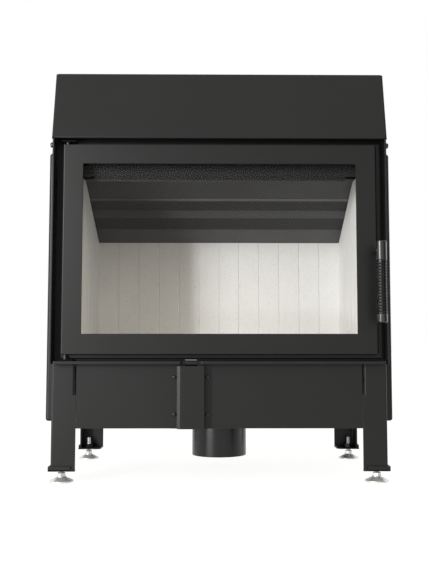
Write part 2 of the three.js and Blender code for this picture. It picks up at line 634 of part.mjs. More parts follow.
function makePlenumAndSpigot() {
  const top = ledgeBottom - GAP;
  const bottom = top - PLENUM_HEIGHT;
  const half = PLENUM_WIDTH / 2;
  const t = THIN_SHEET;
  const box = block(-half, half, plenumFront, plenumBack, bottom, top);
  const hollow = block(-half + t, half - t, plenumFront + t, plenumBack - t, bottom + t, top + 1);
  const inlet = rod(SPIGOT_RADIUS - t, bottom - 1, bottom + t + 1, FINE).translate(0, SPIGOT_CENTRE_Y, 0);
  const barSlot = leverPassage(plenumFront, plenumFront + t);
  add(working, 'air_plenum', cut(box, hollow, inlet, barSlot), BLACK_PAINT);
  add(working, 'air_spigot', tube(SPIGOT_RADIUS, SPIGOT_RADIUS - t, SPIGOT_BOTTOM, bottom - GAP, FINE + 1),
    BLACK_PAINT, [0, SPIGOT_CENTRE_Y, 0]);
}

// ---------------------------------------------------------------- shields
function makeSideShields() {
  const top = SHIELD_BOTTOM + SHIELD_HEIGHT;
  const back = SHIELD_FRONT_Y + SHIELD_LENGTH;
  const rim = shieldInner - SHIELD_RETURN;
  for (const [word, side] of SIDES) {
    const radii = side > 0 ? [0, SHIELD_BEND, SHIELD_BEND, 0] : [SHIELD_BEND, 0, 0, SHIELD_BEND];
    const crossPan = prismY(
      roundedRectangle(side * rim, side * shieldOuter, SHIELD_BOTTOM, top, radii), SHIELD_FRONT_Y, back);
    const hollow = sideBlock(side, rim - 1, shieldInner, SHIELD_FRONT_Y + THIN_SHEET, back - THIN_SHEET,
      SHIELD_BOTTOM + THIN_SHEET, top - THIN_SHEET);
    const spacers = [];
    for (const y of [SHIELD_FRONT_Y + SPACER_INSET_ALONG, back - SPACER_INSET_ALONG]) {
      for (const z of [ledgeTop + SPACER_INSET_HEIGHT, top - SPACER_INSET_HEIGHT]) {
        const ends = [side * (sideOuter + GAP), side * (shieldInner + THIN_SHEET / 2)];
        spacers.push(rodX(SPACER_RADIUS, Math.min(...ends), Math.max(...ends)).translate(0, y, z));
      }
    }
    add(working, `side_shield_${word}`, join(cut(crossPan, hollow), ...spacers), BLACK_PAINT);
  }
}

function makeRearShield() {
  const half = sideOuter - REAR_SHIELD_INSET;
  const bottom = ledgeTop + REAR_SHIELD_RAISE;
  const top = bottom + REAR_SHIELD_HEIGHT;
  const pan = block(-half, half, rearShieldFront - REAR_SHIELD_RETURN, rearShieldBack, bottom, top);
  const hollow = block(-half + THIN_SHEET, half - THIN_SHEET, rearShieldFront - REAR_SHIELD_RETURN - 1,
    rearShieldFront, bottom + THIN_SHEET, top - THIN_SHEET);
  const spacers = [];
  for (const x of [-half + SPACER_INSET_HEIGHT, half - SPACER_INSET_HEIGHT]) {
    for (const z of [bottom + SPACER_INSET_HEIGHT, top - SPACER_INSET_HEIGHT]) {
      spacers.push(rodY(SPACER_RADIUS, backPlateBack + GAP, rearShieldFront + THIN_SHEET / 2)
        .translate(x, 0, z));
    }
  }
  add(working, 'rear_shield', join(cut(pan, hollow), ...spacers), BLACK_PAINT);
}

// ---------------------------------------------------------------- door
const door = new THREE.Group();
working.add(door);
const windowHalf = doorHalf - DOOR_STILE;
const windowBottom = doorBottom + DOOR_RAIL;
const windowTop = doorTop - DOOR_RAIL;
const flangeBackY = doorBack;
const flangeFrontY = doorBack - SHEET;
const faceBackY = DOOR_SETBACK + PLATE;

function makeDoorFrame() {
  const face = frameRing([-doorHalf, doorHalf, doorBottom, doorTop],
    [-windowHalf, windowHalf, windowBottom, windowTop], DOOR_SETBACK, faceBackY, DOOR_CORNER);
  const walls = frameRing([-doorHalf, doorHalf, doorBottom, doorTop],
    [-doorHalf + DOOR_RETURN, doorHalf - DOOR_RETURN, doorBottom + DOOR_RETURN, doorTop - DOOR_RETURN],
    faceBackY - 1, flangeFrontY + 1, DOOR_CORNER);
  const flange = frameRing([-doorHalf - FLANGE_OVERHANG_LEFT, doorHalf + FLANGE_OVERHANG_RIGHT,
    doorBottom - FLANGE_OVERHANG_BOTTOM, flangeTop],
  [-frameOpeningHalf, frameOpeningHalf, frameOpeningBottom, frameOpeningTop], flangeFrontY, flangeBackY);
  const pinBore = rod(HINGE_PIN_RADIUS + HINGE_PIN_CLEARANCE,
    doorBottom - FLANGE_OVERHANG_BOTTOM, flangeTop, FINE).translate(hingeX, hingeY, 0);
  const spindleBore = rodY(SPINDLE_RADIUS + GAP, DOOR_SETBACK - 1, doorBack + 1, FINE)
    .translate(spindleX, 0, spindleZ);
  add(door, 'door_frame', cut(join(face, walls, flange), pinBore, spindleBore), BLACK_PAINT);
}

function makeGlass() {
  const front = faceBackY + GAP;
  const back = front + GLASS_THICKNESS;
  add(door, 'door_glass',
    block(-windowHalf - GLASS_OVERLAP, windowHalf + GLASS_OVERLAP, front, back,
      windowBottom - GLASS_OVERLAP, windowTop + GLASS_OVERLAP), CERAMIC_GLASS);
  const half = windowHalf - RETAINER_INSET;
  const seat = back + GAP;
  for (const [word, edge, away] of [['top', windowTop, 1], ['bottom', windowBottom, -1]]) {
    const glassEdge = edge + away * GLASS_OVERLAP;
    const lap = glassEdge - away * RETAINER_GRIP;
    const heel = glassEdge + away * RETAINER_CLEARANCE;
    const web = glassEdge + away * (RETAINER_CLEARANCE + THIN_SHEET);
    const tip = glassEdge + away * RETAINER_FOOT;
    const profile = outline([[seat, lap], [seat + THIN_SHEET, lap], [seat + THIN_SHEET, web],
      [front + THIN_SHEET, web], [front + THIN_SHEET, tip], [front, tip], [front, heel], [seat, heel]]);
    add(door, `glass_retainer_${word}`, prismX(profile, -half, half), DARK_STEEL);
  }
}

function makeGasket() {
  const inner = frameOpeningHalf + GASKET_INSET;
  const bottom = frameOpeningBottom - GASKET_INSET;
  const top = frameOpeningTop + GASKET_INSET;
  const ring = frameRing(
    [-inner - GASKET_WIDTH, inner + GASKET_WIDTH, bottom - GASKET_WIDTH, top + GASKET_WIDTH],
    [-inner, inner, bottom, top], doorBack + GAP, doorBack + GAP + GASKET_THICKNESS);
  add(door, 'door_gasket', ring, ROPE);
}

function makeHinges() {
  const left = hingeX - HINGE_BRACKET_MARGIN;
  const right = left + HINGE_BRACKET_WIDTH;
  const front = hingeY - HINGE_BRACKET_NOSE;
  const bracket = (z) => block(left, right, front, frameFront - GAP, z, z + SHEET);
  const bore = (z) => rod(HINGE_PIN_RADIUS + GAP, z - 1, z + SHEET + 1, FINE).translate(hingeX, hingeY, 0);
  const lower = ledgeTop + GAP;
  const upper = bracketTop - SHEET;
  add(working, 'hinge_bracket_bottom', cut(bracket(lower), bore(lower)), BLACK_PAINT);
  add(working, 'hinge_bracket_top', cut(bracket(upper), bore(upper)), BLACK_PAINT);
  const pin = (za, zb) => rod(HINGE_PIN_RADIUS, za, zb, FINE);
  add(working, 'hinge_pin_bottom', pin(lower, doorBottom + HINGE_PIN_GRIP), ZINC, [hingeX, hingeY, 0]);
  add(working, 'hinge_pin_top', pin(doorTop - HINGE_PIN_GRIP, bracketTop + HINGE_PIN_HEAD), ZINC,
    [hingeX, hingeY, 0]);
}

// ---------------------------------------------------------------- handle and latch
const handle = new THREE.Group();
handle.position.set(spindleX, 0, spindleZ);
door.add(handle);

function makeHandle() {
  const top = SPINDLE_DROP;
  const ferruleBottom = top - FERRULE_LENGTH;
  const gripBottom = ferruleBottom - GAP - GRIP_LENGTH;
  const capTop = gripBottom - GAP;
  const capBottom = capTop - CAP_LENGTH;
  const axis = [HANDLE_OFFSET, handleY, 0];
  const camBack = frameFront - CAM_CLEARANCE;
  const coreTop = top - FERRULE_CROWN;
  const core = rod(CORE_RADIUS, capBottom + CAP_FLOOR, coreTop, COARSE).translate(...axis);
  const spindle = rodY(SPINDLE_RADIUS, handleY - SPINDLE_TAIL, camBack, FINE);
  add(handle, 'handle_arm', join(core, spindle), HANDLE_STEEL);
  const clearance = CORE_RADIUS + GAP;
  const ferrule = cut(rod(HANDLE_RADIUS, ferruleBottom, top, FINE).translate(...axis),
    rod(clearance, ferruleBottom - 1, coreTop + GAP, COARSE).translate(...axis),
    rodY(SPINDLE_RADIUS + GAP, handleY - SPINDLE_TAIL - GAP, handleY + HANDLE_RADIUS + 1, FINE));
  add(handle, 'handle_ferrule', ferrule, HANDLE_STEEL);
  add(handle, 'handle_grip', tube(GRIP_RADIUS, clearance, gripBottom, ferruleBottom - GAP),
    BLACK_PAINT, axis);
  const cap = cut(rod(HANDLE_RADIUS, capBottom, capTop, FINE),
    rod(clearance, capBottom + CAP_FLOOR - GAP, capTop + 1, COARSE));
  add(handle, 'handle_end_cap', cap, HANDLE_STEEL, axis);
}

function makeLatch() {
  const keeperInner = doorHalf + FLANGE_OVERHANG_RIGHT + KEEPER_CLEARANCE;
  const nose = keeperInner - LATCH_PLAY - spindleX;
  const camBack = frameFront - CAM_CLEARANCE;
  const camFront = camBack - CAM_THICKNESS;
  const hub = rodY(CAM_HUB_RADIUS, camFront, camBack, FINE);
  const finger = prismY(roundedRectangle(0, nose, -CAM_NOSE_WIDTH / 2, CAM_NOSE_WIDTH / 2,
    [0, CAM_NOSE_CORNER, CAM_NOSE_CORNER, 0]),
    camFront, camBack);
  const bore = rodY(SPINDLE_RADIUS + GAP / 3, camFront - 1, camBack + 1, FINE);
  add(handle, 'latch_cam', cut(join(hub, finger), bore), DARK_STEEL);
  add(working, 'latch_keeper', block(keeperInner, cheekInner - GAP, doorBack - KEEPER_DEPTH, doorBack,
    spindleZ - KEEPER_HEIGHT / 2, spindleZ + KEEPER_HEIGHT / 2), DARK_STEEL);
}

// ---------------------------------------------------------------- linings and inner steel
// the side linings' sloped top, on which the baffle lies, rises from the back lining to the front
function slopeHeight(y) {
  return backLiningTop + SIDE_LINING_RISE * (backLiningFront - y) / (backLiningFront - BAFFLE_FRONT_Y);
}

// an outline in (x, y) of a lining plate with vertical grooves in its front face at the given places
function groovedFace(along0, along1, face, back, grooves, toPoint) {
  const inwards = Math.sign(back - face);
  const points = [[along0, back], [along0, face]];
  for (const place of grooves) {
    points.push([place - GROOVE_WIDTH / 2, face], [place, face + inwards * GROOVE_DEPTH],
      [place + GROOVE_WIDTH / 2, face]);
  }
  points.push([along1, face], [along1, back]);
  return outline(points.map(toPoint));
}

function placesBetween(low, high, origin, pitch) {
  const places = [];
  const first = Math.ceil((low - origin) / pitch);
  for (let index = first; origin + index * pitch < high; index += 1) places.push(origin + index * pitch);
  return places;
}

function makeLinings() {
  const backFace = backLiningFront;
  for (const [word, side] of SIDES) {
    const [x0, x1] = [GAP / 2, sideInner - GAP].map((x) => side * x).sort((a, b) => a - b);
    const visible = placesBetween(x0 + GROOVE_EDGE, x1 - GROOVE_EDGE, 0, GROOVE_PITCH)
      .filter((x) => Math.abs(x) < liningInner - GROOVE_EDGE);
    add(working, `lining_back_${word}`,
      prismZ(groovedFace(x0, x1, backFace, backPlateFront - GAP, visible, (p) => p),
        liningBottom, backLiningTop),
      VERMICULITE);
    const y0 = liningFront;
    const y1 = backFace - GAP;
    const grooves = placesBetween(y0 + GROOVE_EDGE, y1 - GROOVE_EDGE, backFace, GROOVE_PITCH);
    const plate = prismZ(groovedFace(y0, y1, side * liningInner, side * (sideInner - GAP), grooves,
      ([along, depth]) => [depth, along]), liningBottom, slopeHeight(BAFFLE_FRONT_Y));
    const slopeCut = prismX(outline([
      [BAFFLE_FRONT_Y, slopeHeight(BAFFLE_FRONT_Y)], [y1 + 1, slopeHeight(y1 + 1)],
      [y1 + 1, slopeHeight(BAFFLE_FRONT_Y) + 1], [BAFFLE_FRONT_Y, slopeHeight(BAFFLE_FRONT_Y) + 1]]),
    -sideInner, sideInner);
    add(working, `lining_side_${word}`, cut(plate, slopeCut), VERMICULITE);
  }
  add(working, 'lining_floor',
    block(-sideInner + GAP, sideInner - GAP, frameBack + GAP, backPlateFront - GAP,
      ledgeTop + GAP, floorLiningTop),
    VERMICULITE);
  add(working, 'log_stop', prismX(outline([
    [liningFront, liningBottom], [liningFront + LOG_STOP_DEPTH, liningBottom],
    [liningFront + LOG_STOP_DEPTH, liningBottom + SHEET],
    [liningFront + SHEET, liningBottom + SHEET], [liningFront + SHEET, liningBottom + LOG_STOP_HEIGHT],
    [liningFront, liningBottom + LOG_STOP_HEIGHT]]),
  -liningInner + LOOSE_FIT, liningInner - LOOSE_FIT), DARK_STEEL);
}

// a line through the given (y, z) points, shifted sideways by a distance with its corners mitred
function shifted(points, distance) {
  const directions = points.slice(1).map(([y, z], index) => {
    const [fromY, fromZ] = points[index];
    const length = Math.hypot(y - fromY, z - fromZ);
    return [(y - fromY) / length, (z - fromZ) / length];
  });
  return points.map(([y, z], index) => {
    const [ay, az] = directions[Math.max(index - 1, 0)];
    const [by, bz] = directions[Math.min(index, directions.length - 1)];
    const scale = distance / (1 + ay * by + az * bz);
    return [y + (az + bz) * scale, z - (ay + by) * scale];
  });
}

// a folded steel plate that lies on the side linings' sloped tops
function makeBaffle() {
  const low = [[backLiningFront - GAP, slopeHeight(backLiningFront - GAP) + GAP]];
  for (const [run, rise] of BAFFLE_FOLDS) {
    const [y, z] = low.at(-1);
    low.push([y - run, z + rise]);
  }
  low.push([BAFFLE_FRONT_Y, low.at(-1)[1] + BAFFLE_FRONT_RISE]);
  const high = shifted(low, BAFFLE_THICKNESS).reverse();
  add(working, 'baffle', prismX(outline([...low, ...high]), -sideInner + LOOSE_FIT, sideInner - LOOSE_FIT),
    DARK_STEEL);
}

function makeDeflector() {
  const half = frameOpeningHalf - DEFLECTOR_END_CLEARANCE;
  const t = THIN_SHEET;
  const y0 = frameBack + GAP;
  const back = y0 + DEFLECTOR_DEPTH;
  const bottom = frameOpeningTop - DEFLECTOR_DROP;
  const shelf = frameOpeningTop + DEFLECTOR_RAISE;
  const top = shelf + DEFLECTOR_SEAT;
  const plate = (low) => outline([[y0, shelf - t], [back - t, shelf - t], [back - t, low],
    [back, low], [back, shelf], [y0 + t, shelf], [y0 + t, top], [y0, top]]);
  const lip = outline([[back - t, bottom + DEFLECTOR_LIP + 1], [back - t, bottom + DEFLECTOR_LIP],
    [back - t + DEFLECTOR_LIP_DEPTH, bottom], [back + DEFLECTOR_LIP_DEPTH, bottom],
    [back, bottom + DEFLECTOR_LIP], [back, bottom + DEFLECTOR_LIP + 1]]);
  const lipHalf = half - DEFLECTOR_LIP_INSET;
  const notch = block(-lipHalf, lipHalf, y0 - 1, back + DEFLECTOR_LIP_DEPTH,
    bottom - 1, bottom + DEFLECTOR_LIP);
  add(working, 'airwash_deflector',
    join(cut(prismX(plate(bottom), -half, half), notch), prismX(lip, -lipHalf, lipHalf)), DARK_STEEL);
}

makeFirebox();
makeFloorPlate();
makeFrontFrame();
makeCheeks();
makeHood();
makeFlueCollar();
makeLegsAndFeet();
makeLedge();
makeApron();
makeAirCover();
makeAirLever();
makePlenumAndSpigot();
makeSideShields();
makeRearShield();
makeDoorFrame();
makeGlass();
makeGasket();
makeHinges();
makeHandle();
makeLatch();
makeLinings();
makeBaffle();
makeDeflector();

export default insert;
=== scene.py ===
"""A fireplace insert in black steel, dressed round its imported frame: hood, door, handle, shields and feet."""

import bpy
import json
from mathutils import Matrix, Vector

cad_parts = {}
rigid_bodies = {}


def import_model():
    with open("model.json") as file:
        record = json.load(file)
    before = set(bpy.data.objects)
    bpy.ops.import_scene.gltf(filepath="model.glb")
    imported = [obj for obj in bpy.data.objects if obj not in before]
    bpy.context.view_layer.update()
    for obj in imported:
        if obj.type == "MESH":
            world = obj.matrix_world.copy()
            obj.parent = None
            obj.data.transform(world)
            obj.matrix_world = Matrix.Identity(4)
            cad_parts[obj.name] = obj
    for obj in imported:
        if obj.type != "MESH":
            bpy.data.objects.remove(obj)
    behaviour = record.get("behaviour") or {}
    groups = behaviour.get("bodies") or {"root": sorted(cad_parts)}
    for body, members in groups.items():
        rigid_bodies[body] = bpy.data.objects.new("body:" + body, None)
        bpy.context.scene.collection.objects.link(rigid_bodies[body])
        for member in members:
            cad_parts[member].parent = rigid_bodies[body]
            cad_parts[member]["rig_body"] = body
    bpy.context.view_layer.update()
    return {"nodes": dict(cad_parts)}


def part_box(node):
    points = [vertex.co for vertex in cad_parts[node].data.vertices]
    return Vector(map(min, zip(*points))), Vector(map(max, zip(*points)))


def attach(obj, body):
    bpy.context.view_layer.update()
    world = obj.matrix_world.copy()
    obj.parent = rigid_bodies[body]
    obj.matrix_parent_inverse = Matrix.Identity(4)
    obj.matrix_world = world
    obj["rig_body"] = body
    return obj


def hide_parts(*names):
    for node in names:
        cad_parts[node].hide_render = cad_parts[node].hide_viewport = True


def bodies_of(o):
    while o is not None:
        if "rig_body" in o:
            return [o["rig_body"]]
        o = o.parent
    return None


bl_info = {
    "name": "Fireplace insert",
    "version": (1, 0, 0),
    "blender": (4, 5, 0),
    "location": "3D View > Sidebar > Hearth",
    "description": "A black steel fireplace insert with a glazed door on four levelling feet",
    "category": "Object",
}

import json

import bmesh
import bpy
import numpy as np
from bpy.props import FloatProperty, FloatVectorProperty, IntProperty, PointerProperty
from bpy.types import Operator, Panel, PropertyGroup
from mathutils import Matrix, Vector
from mathutils.geometry import delaunay_2d_cdt

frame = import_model()
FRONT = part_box("leg_front_left")[0].y  # the plane of the legs' front faces, from which shapes measure Y
MM = 1000.0
SIDES = (("left", -1), ("right", 1))
ENDS = (("front", 1), ("rear", -1))


# ---------------------------------------------------------------- settings
def length(name, description, millimetres):
    return FloatProperty(name=name, description=description, default=millimetres / MM, min=0.0,
                         precision=5, unit="LENGTH")


def share(name, description, value, high=1.0):
    return FloatProperty(name=name, description=description, default=value, min=0.0, max=high,
                         precision=3, subtype="FACTOR")


def tint(name, description, value):
    return FloatVectorProperty(name=name, description=description, default=value, size=3, min=0.0,
                               max=1.0, subtype="COLOR")


class InsertSizes(PropertyGroup):
    """Sizes of bends, edges and small parts; the large sizes come from the frame."""

    sheet: length("Sheet", "Thickness of the hood, shields and covers", 2.0)
    hood_bend: length("Hood bend", "Outer radius of the hood's long bends", 2.6)
    hood_corner: length("Hood corner", "Outer radius of the bend into the hood's sides", 4.0)
    door_edge: length("Door edge", "Radius of the bends down the door's sides", 4.6)
    shield_bend: length("Shield bend", "Outer radius round the shields' faces", 6.0)
    cover_bend: length("Cover bend", "Outer radius of the linkage cover's bends", 4.2)
    leg_corner: length("Leg corner", "Outer corner radius of the angle legs", 4.0)
    plate_edge: length("Plate edge", "Width of the rounding on cut plate edges", 0.5)
    thread_pitch: length("Thread pitch", "Pitch of the levelling feet's threads", 1.5)
    thread_depth: length("Thread depth", "Depth of the levelling feet's threads", 0.8)
    grip_hole: length("Grip hole", "Diameter of the holes in the grip's sleeve", 2.9)
    grip_wall: length("Grip wall", "Thickness of the grip's sleeve", 1.0)
    grip_columns: IntProperty(name="Grip columns", description="Columns of holes round the grip's sleeve",
                              default=12, min=6, max=24)
    rope_plait: length("Rope plait", "Length of one plait of the door's rope", 9.0)


class InsertFinishes(PropertyGroup):
    """Colours and gloss of the insert's finishes."""

    paint: tint("Stove paint", "Heatproof paint on the body, door and hood", (0.0085, 0.0084, 0.0085))
    paint_gloss: share("Paint roughness", "Roughness of the stove paint", 0.38)
    # painted shade: faces of the baffle turned away from the lamps are painted darker than this steel colour
    steel: tint("Baffle steel", "Steel of the baffle under its soot", (0.24, 0.24, 0.247))
    steel_gloss: share("Inner roughness", "Roughness of the steel inside the firebox", 0.5)
    zinc: tint("Zinc", "Zinc plating of the levelling feet", (0.74, 0.74, 0.73))
    handle: tint("Handle steel", "Blackened steel of the handle's ends and arm", (0.006, 0.006, 0.006))
    grip: tint("Grip sleeve", "Black sleeve of the grip", (0.002, 0.002, 0.002))
    board: tint("Lining board", "Pressed lining board", (0.83, 0.83, 0.83))
    floor_board: tint("Floor board", "Sooted lining board of the firebox floor", (0.44, 0.435, 0.43))
    fleck: tint("Board flecks", "Mineral flecks in the lining board", (0.46, 0.40, 0.29))
    rope: tint("Rope", "Glass-fibre rope of the door", (0.05, 0.048, 0.045))


class InsertStudio(PropertyGroup):
    """Floor, lamps and surroundings."""

    floor: share("Floor tone", "Reflecting share of the floor", 0.1)
    surround: share("Surround", "Light of the surroundings on matt surfaces", 1.45, 2.0)
    key_power: FloatProperty(name="Key lamp", description="Power of the tall lamp at the left",
                             default=37.0, min=0.0, unit="POWER")
    low_power: FloatProperty(name="Low lamp", description="Power of the low lamp at the left",
                             default=8.5, min=0.0, unit="POWER")
    rim_power: FloatProperty(name="Rim lamp", description="Power of the lamp at the right",
                             default=5.0, min=0.0, unit="POWER")


# ---------------------------------------------------------------- places in the frame
def limits(node):
    """A node's box in millimetres, Y from the legs' front faces: x0, x1, y0, y1, z0, z1."""
    low, high = (np.array(corner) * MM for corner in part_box(node))
    return low[0], high[0], low[1] - FRONT * MM, high[1] - FRONT * MM, low[2], high[2]


def upright(node):
    """A round upright node's middle (x, y, 0) and its radius, in millimetres."""
    x0, x1, y0, y1, _, _ = limits(node)
    return np.array([(x0 + x1) / 2, (y0 + y1) / 2, 0.0]), (x1 - x0) / 2


def body_of(node):
    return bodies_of(frame["nodes"][node])[0]


# ---------------------------------------------------------------- curves
def filleted(corners, radii, steps=5, closed=False):
    """A line with every corner rounded: an arc of the corner's radius that touches both its sides, worked
    out as the circular blend of the vectors from the arc's centre to where it starts and where it ends."""
    corners = np.asarray(corners, float)
    if closed:
        middle, before, after = corners, np.roll(corners, 1, 0), np.roll(corners, -1, 0)
    else:
        middle, before, after = corners[1:-1], corners[:-2], corners[2:]
    radius = np.broadcast_to(np.asarray(radii, float), len(middle))[:, None]
    back = (before - middle) / np.linalg.norm(before - middle, axis=1, keepdims=True)
    onward = (after - middle) / np.linalg.norm(after - middle, axis=1, keepdims=True)
    half = np.arccos(np.clip((back * onward).sum(1, keepdims=True), -1, 1)) / 2
    inward = (back + onward) / np.linalg.norm(back + onward, axis=1, keepdims=True)
    centre = middle + inward * radius / np.sin(half)
    start, end = middle + back * radius / np.tan(half), middle + onward * radius / np.tan(half)
    turn = (np.pi - 2 * half)[:, None]
    part = np.linspace(0, 1, steps + 1)[None, :, None]
    arcs = centre[:, None] + (np.sin((1 - part) * turn) * (start - centre)[:, None]
                              + np.sin(part * turn) * (end - centre)[:, None]) / np.sin(turn)
    line = arcs.reshape(-1, corners.shape[1])
    return line if closed else np.vstack([corners[:1], line, corners[-1:]])


def shifted(line, distance):
    """An open flat line moved sideways by a distance, to its right when positive, its corners mitred."""
    step = np.diff(line, axis=0)
    step /= np.linalg.norm(step, axis=1, keepdims=True)
    before, after = np.vstack([step[:1], step]), np.vstack([step, step[-1:]])
    side = before + after
    side = np.stack([side[:, 1], -side[:, 0]], 1)
    return line + side * distance / (1 + (before * after).sum(1, keepdims=True))


def rounded_loop(u0, u1, v0, v1, radius, steps=5):
    """A rectangle's outline with round corners, walked once round."""
    return filleted([[u0, v0], [u1, v0], [u1, v1], [u0, v1]], radius, steps, closed=True)


def embed(flat, axis, value):
    """Flat points placed across an axis, at a value along it."""
    flat = np.asarray(flat, float)
    placed = np.empty(flat.shape[:-1] + (3,))
    placed[..., [other for other in range(3) if other != axis]] = flat
    placed[..., axis] = value
    return placed


def oriented(local, centre, axis=2, sign=1):
    """Points (a, b, height) stood on an axis through a centre."""
    order = {0: (2, 0, 1), 1: (0, 2, 1), 2: (0, 1, 2)}[axis]
    turned_points = local[..., order].copy()
    turned_points[..., axis] *= sign
    return turned_points + np.asarray(centre, float)


def polygon_reach(angle, sides):
    """How far a polygon of a number of sides reaches at each angle, as a multiple of the radius to its flats."""
    sector = 2 * np.pi / sides
    return 1 / np.cos((angle + sector / 2) % sector - sector / 2)


# ---------------------------------------------------------------- surfaces
class Shell:
    """The points and faces of one piece, in millimetres."""

    def __init__(self):
        self.points, self.faces, self.count = [], [], 0

    def grid(self, points, close_rows=False, close_columns=False, cap_rows=(), cap_columns=()):
        """Quads between neighbours of a grid of points; a named first (0) or last (-1) row or column
        becomes one flat face."""
        rows, columns = points.shape[:2]
        index = np.arange(rows * columns).reshape(rows, columns) + self.count
        wide = np.vstack([index, index[:1]]) if close_rows else index
        wide = np.hstack([wide, wide[:, :1]]) if close_columns else wide
        quads = np.stack([wide[:-1, :-1], wide[:-1, 1:], wide[1:, 1:], wide[1:, :-1]], -1)
        self.faces += quads.reshape(-1, 4).tolist()
        self.faces += [index[row].tolist() for row in cap_rows]
        self.faces += [index[:, column].tolist() for column in cap_columns]
        self.points.append(points.reshape(-1, 3))
        self.count += rows * columns
        return self

    def mesh(self, points, faces):
        """Points with faces of their own numbering."""
        self.faces += (np.asarray(faces) + self.count).tolist()
        self.points.append(np.asarray(points, float).reshape(-1, 3))
        self.count += len(self.points[-1])
        return self

    def extruded(self, outline, axis, start, end):
        """A closed outline carried straight along an axis."""
        return self.grid(np.stack([embed(outline, axis, start), embed(outline, axis, end)]),
                         close_columns=True, cap_rows=(0, -1))

    def bent(self, line, thickness, axis, start, end):
        """A sheet's profile line carried along an axis, with its thickness to the line's right."""
        inner = shifted(line, thickness)
        rows = [embed(line, axis, start), embed(line, axis, end), embed(inner, axis, end),
                embed(inner, axis, start)]
        return self.grid(np.stack(rows), close_rows=True, cap_columns=(0, -1))

    def thick(self, outer, inner):
        """Two like grids of points joined along their borders into a wall."""
        self.grid(outer).grid(inner)
        for edge in ((0,), (-1,), (slice(None), 0), (slice(None), -1)):
            self.grid(np.stack([outer[edge], inner[edge]]))
        return self

    def turned(self, profile, centre, axis=2, sign=1, around=32, close_rows=False, cap=(), sides=0):
        """A profile of (radius, height) turned about an axis; with sides, the radius at each angle is
        that of a polygon of this many sides with the profile's radius to its flats."""
        angle = np.linspace(0, 2 * np.pi, around, endpoint=False)
        radius, height = np.asarray(profile, float).T
        reach = polygon_reach(angle, sides) if sides else np.ones(around)
        local = np.stack([radius[:, None] * np.cos(angle) * reach, radius[:, None] * np.sin(angle) * reach,
                          np.repeat(height[:, None], around, 1)], -1)
        return self.grid(oriented(local, centre, axis, sign), close_rows, True, cap_rows=cap)

    def flat(self, outline, holes, axis, value):
        """A flat face within an outline and round its holes, in triangles."""
        loops = [outline, *holes]
        starts = np.cumsum([0] + [len(loop) for loop in loops])
        edges = np.concatenate([np.stack([np.arange(len(loop)), (np.arange(len(loop)) + 1) % len(loop)], 1)
                                + start for loop, start in zip(loops, starts)])
        found = delaunay_2d_cdt([Vector(point) for point in np.vstack(loops)], edges.tolist(), [], 1, 1e-6)
        points, faces = np.array(found[0]), np.array(found[2])
        middle = points[faces].mean(1)
        keep = np.ones(len(faces), bool)
        for hole in holes:
            centre = hole.mean(0)
            keep &= np.linalg.norm(middle - centre, axis=1) > np.linalg.norm(hole - centre, axis=1).max() * 0.97
        return self.mesh(embed(points, axis, value), faces[keep])

    def button(self, centre, axis, sign, radius, rim, height, crown, socket):
        """A domed head: a straight rim, a round shoulder to its crown, and a six-sided socket in it."""
        turn = np.linspace(0, np.pi / 2, 6)
        shoulder = np.stack([crown + (radius - crown) * np.cos(turn),
                             rim + (height - rim) * np.sin(turn)], 1)
        self.turned(np.vstack([[radius, 0], shoulder, [crown - 0.2, height]]), centre, axis, sign, 36, cap=(0,))
        angle = np.linspace(0, 2 * np.pi, 36, endpoint=False)
        reach = polygon_reach(angle, 6)
        levels = [(crown - 0.2, height, 0), (socket, height, 1), (socket - 0.15, height - 0.2, 1),
                  (socket - 0.15, height * 0.4, 1)]
        rows = [np.stack([r * np.cos(angle) * (reach if six else 1), r * np.sin(angle) * (reach if six else 1),
                          np.full(36, h)], 1) for r, h, six in levels]
        return self.grid(oriented(np.stack(rows), centre, axis, sign), close_columns=True, cap_rows=(-1,))


def put(name, shell, material, node, edge=0.0, smooth=38.0):
    """Makes a piece of a shell: its doubles are merged and its faces turned outwards, it rides on the
    body of the node it replaces, and its edges are rounded."""
    points = np.concatenate(shell.points) / MM
    points[:, 1] += FRONT
    mesh = bpy.data.meshes.new(name)
    mesh.from_pydata(points.tolist(), [], shell.faces)
    work = bmesh.new()
    work.from_mesh(mesh)
    bmesh.ops.remove_doubles(work, verts=work.verts, dist=2e-6)
    bmesh.ops.dissolve_degenerate(work, edges=work.edges, dist=1e-7)
    bmesh.ops.recalc_face_normals(work, faces=work.faces)
    work.to_mesh(mesh)
    work.free()
    mesh.polygons.foreach_set("use_smooth", np.ones(len(mesh.polygons), bool))
    mesh.set_sharp_from_angle(angle=np.radians(smooth))
    mesh.materials.append(bpy.data.materials[material])
    piece = bpy.data.objects.new(name, mesh)
    bpy.context.scene.collection.objects.link(piece)
    if edge:
        round_edges(piece, edge)
    piece.modifiers.new("flat faces", "WEIGHTED_NORMAL").keep_sharp = True
    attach(piece, body_of(node))
    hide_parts(node)
    return piece


def round_edges(piece, width):
    bevel = piece.modifiers.new("rounded edges", "BEVEL")
    bevel.width = width
    bevel.segments = 2
    bevel.limit_method = "ANGLE"
    bevel.angle_limit = np.radians(34.0)
    bevel.miter_outer = "MITER_ARC"


def keep(node, material, edge=0.0):
    """A node whose shape is right stays: it gets a finish, and its cut edges are rounded."""
    piece = frame["nodes"][node]
    for place in piece.material_slots:
        place.material = bpy.data.materials[material]
    if edge:
        weld = piece.modifiers.new("joined corners", "WELD")
        weld.merge_threshold = 1e-5
        planar = piece.modifiers.new("whole faces", "DECIMATE")
        planar.decimate_type = "DISSOLVE"
        planar.angle_limit = np.radians(1.0)
        round_edges(piece, edge)
        piece.modifiers.new("flat faces", "WEIGHTED_NORMAL")


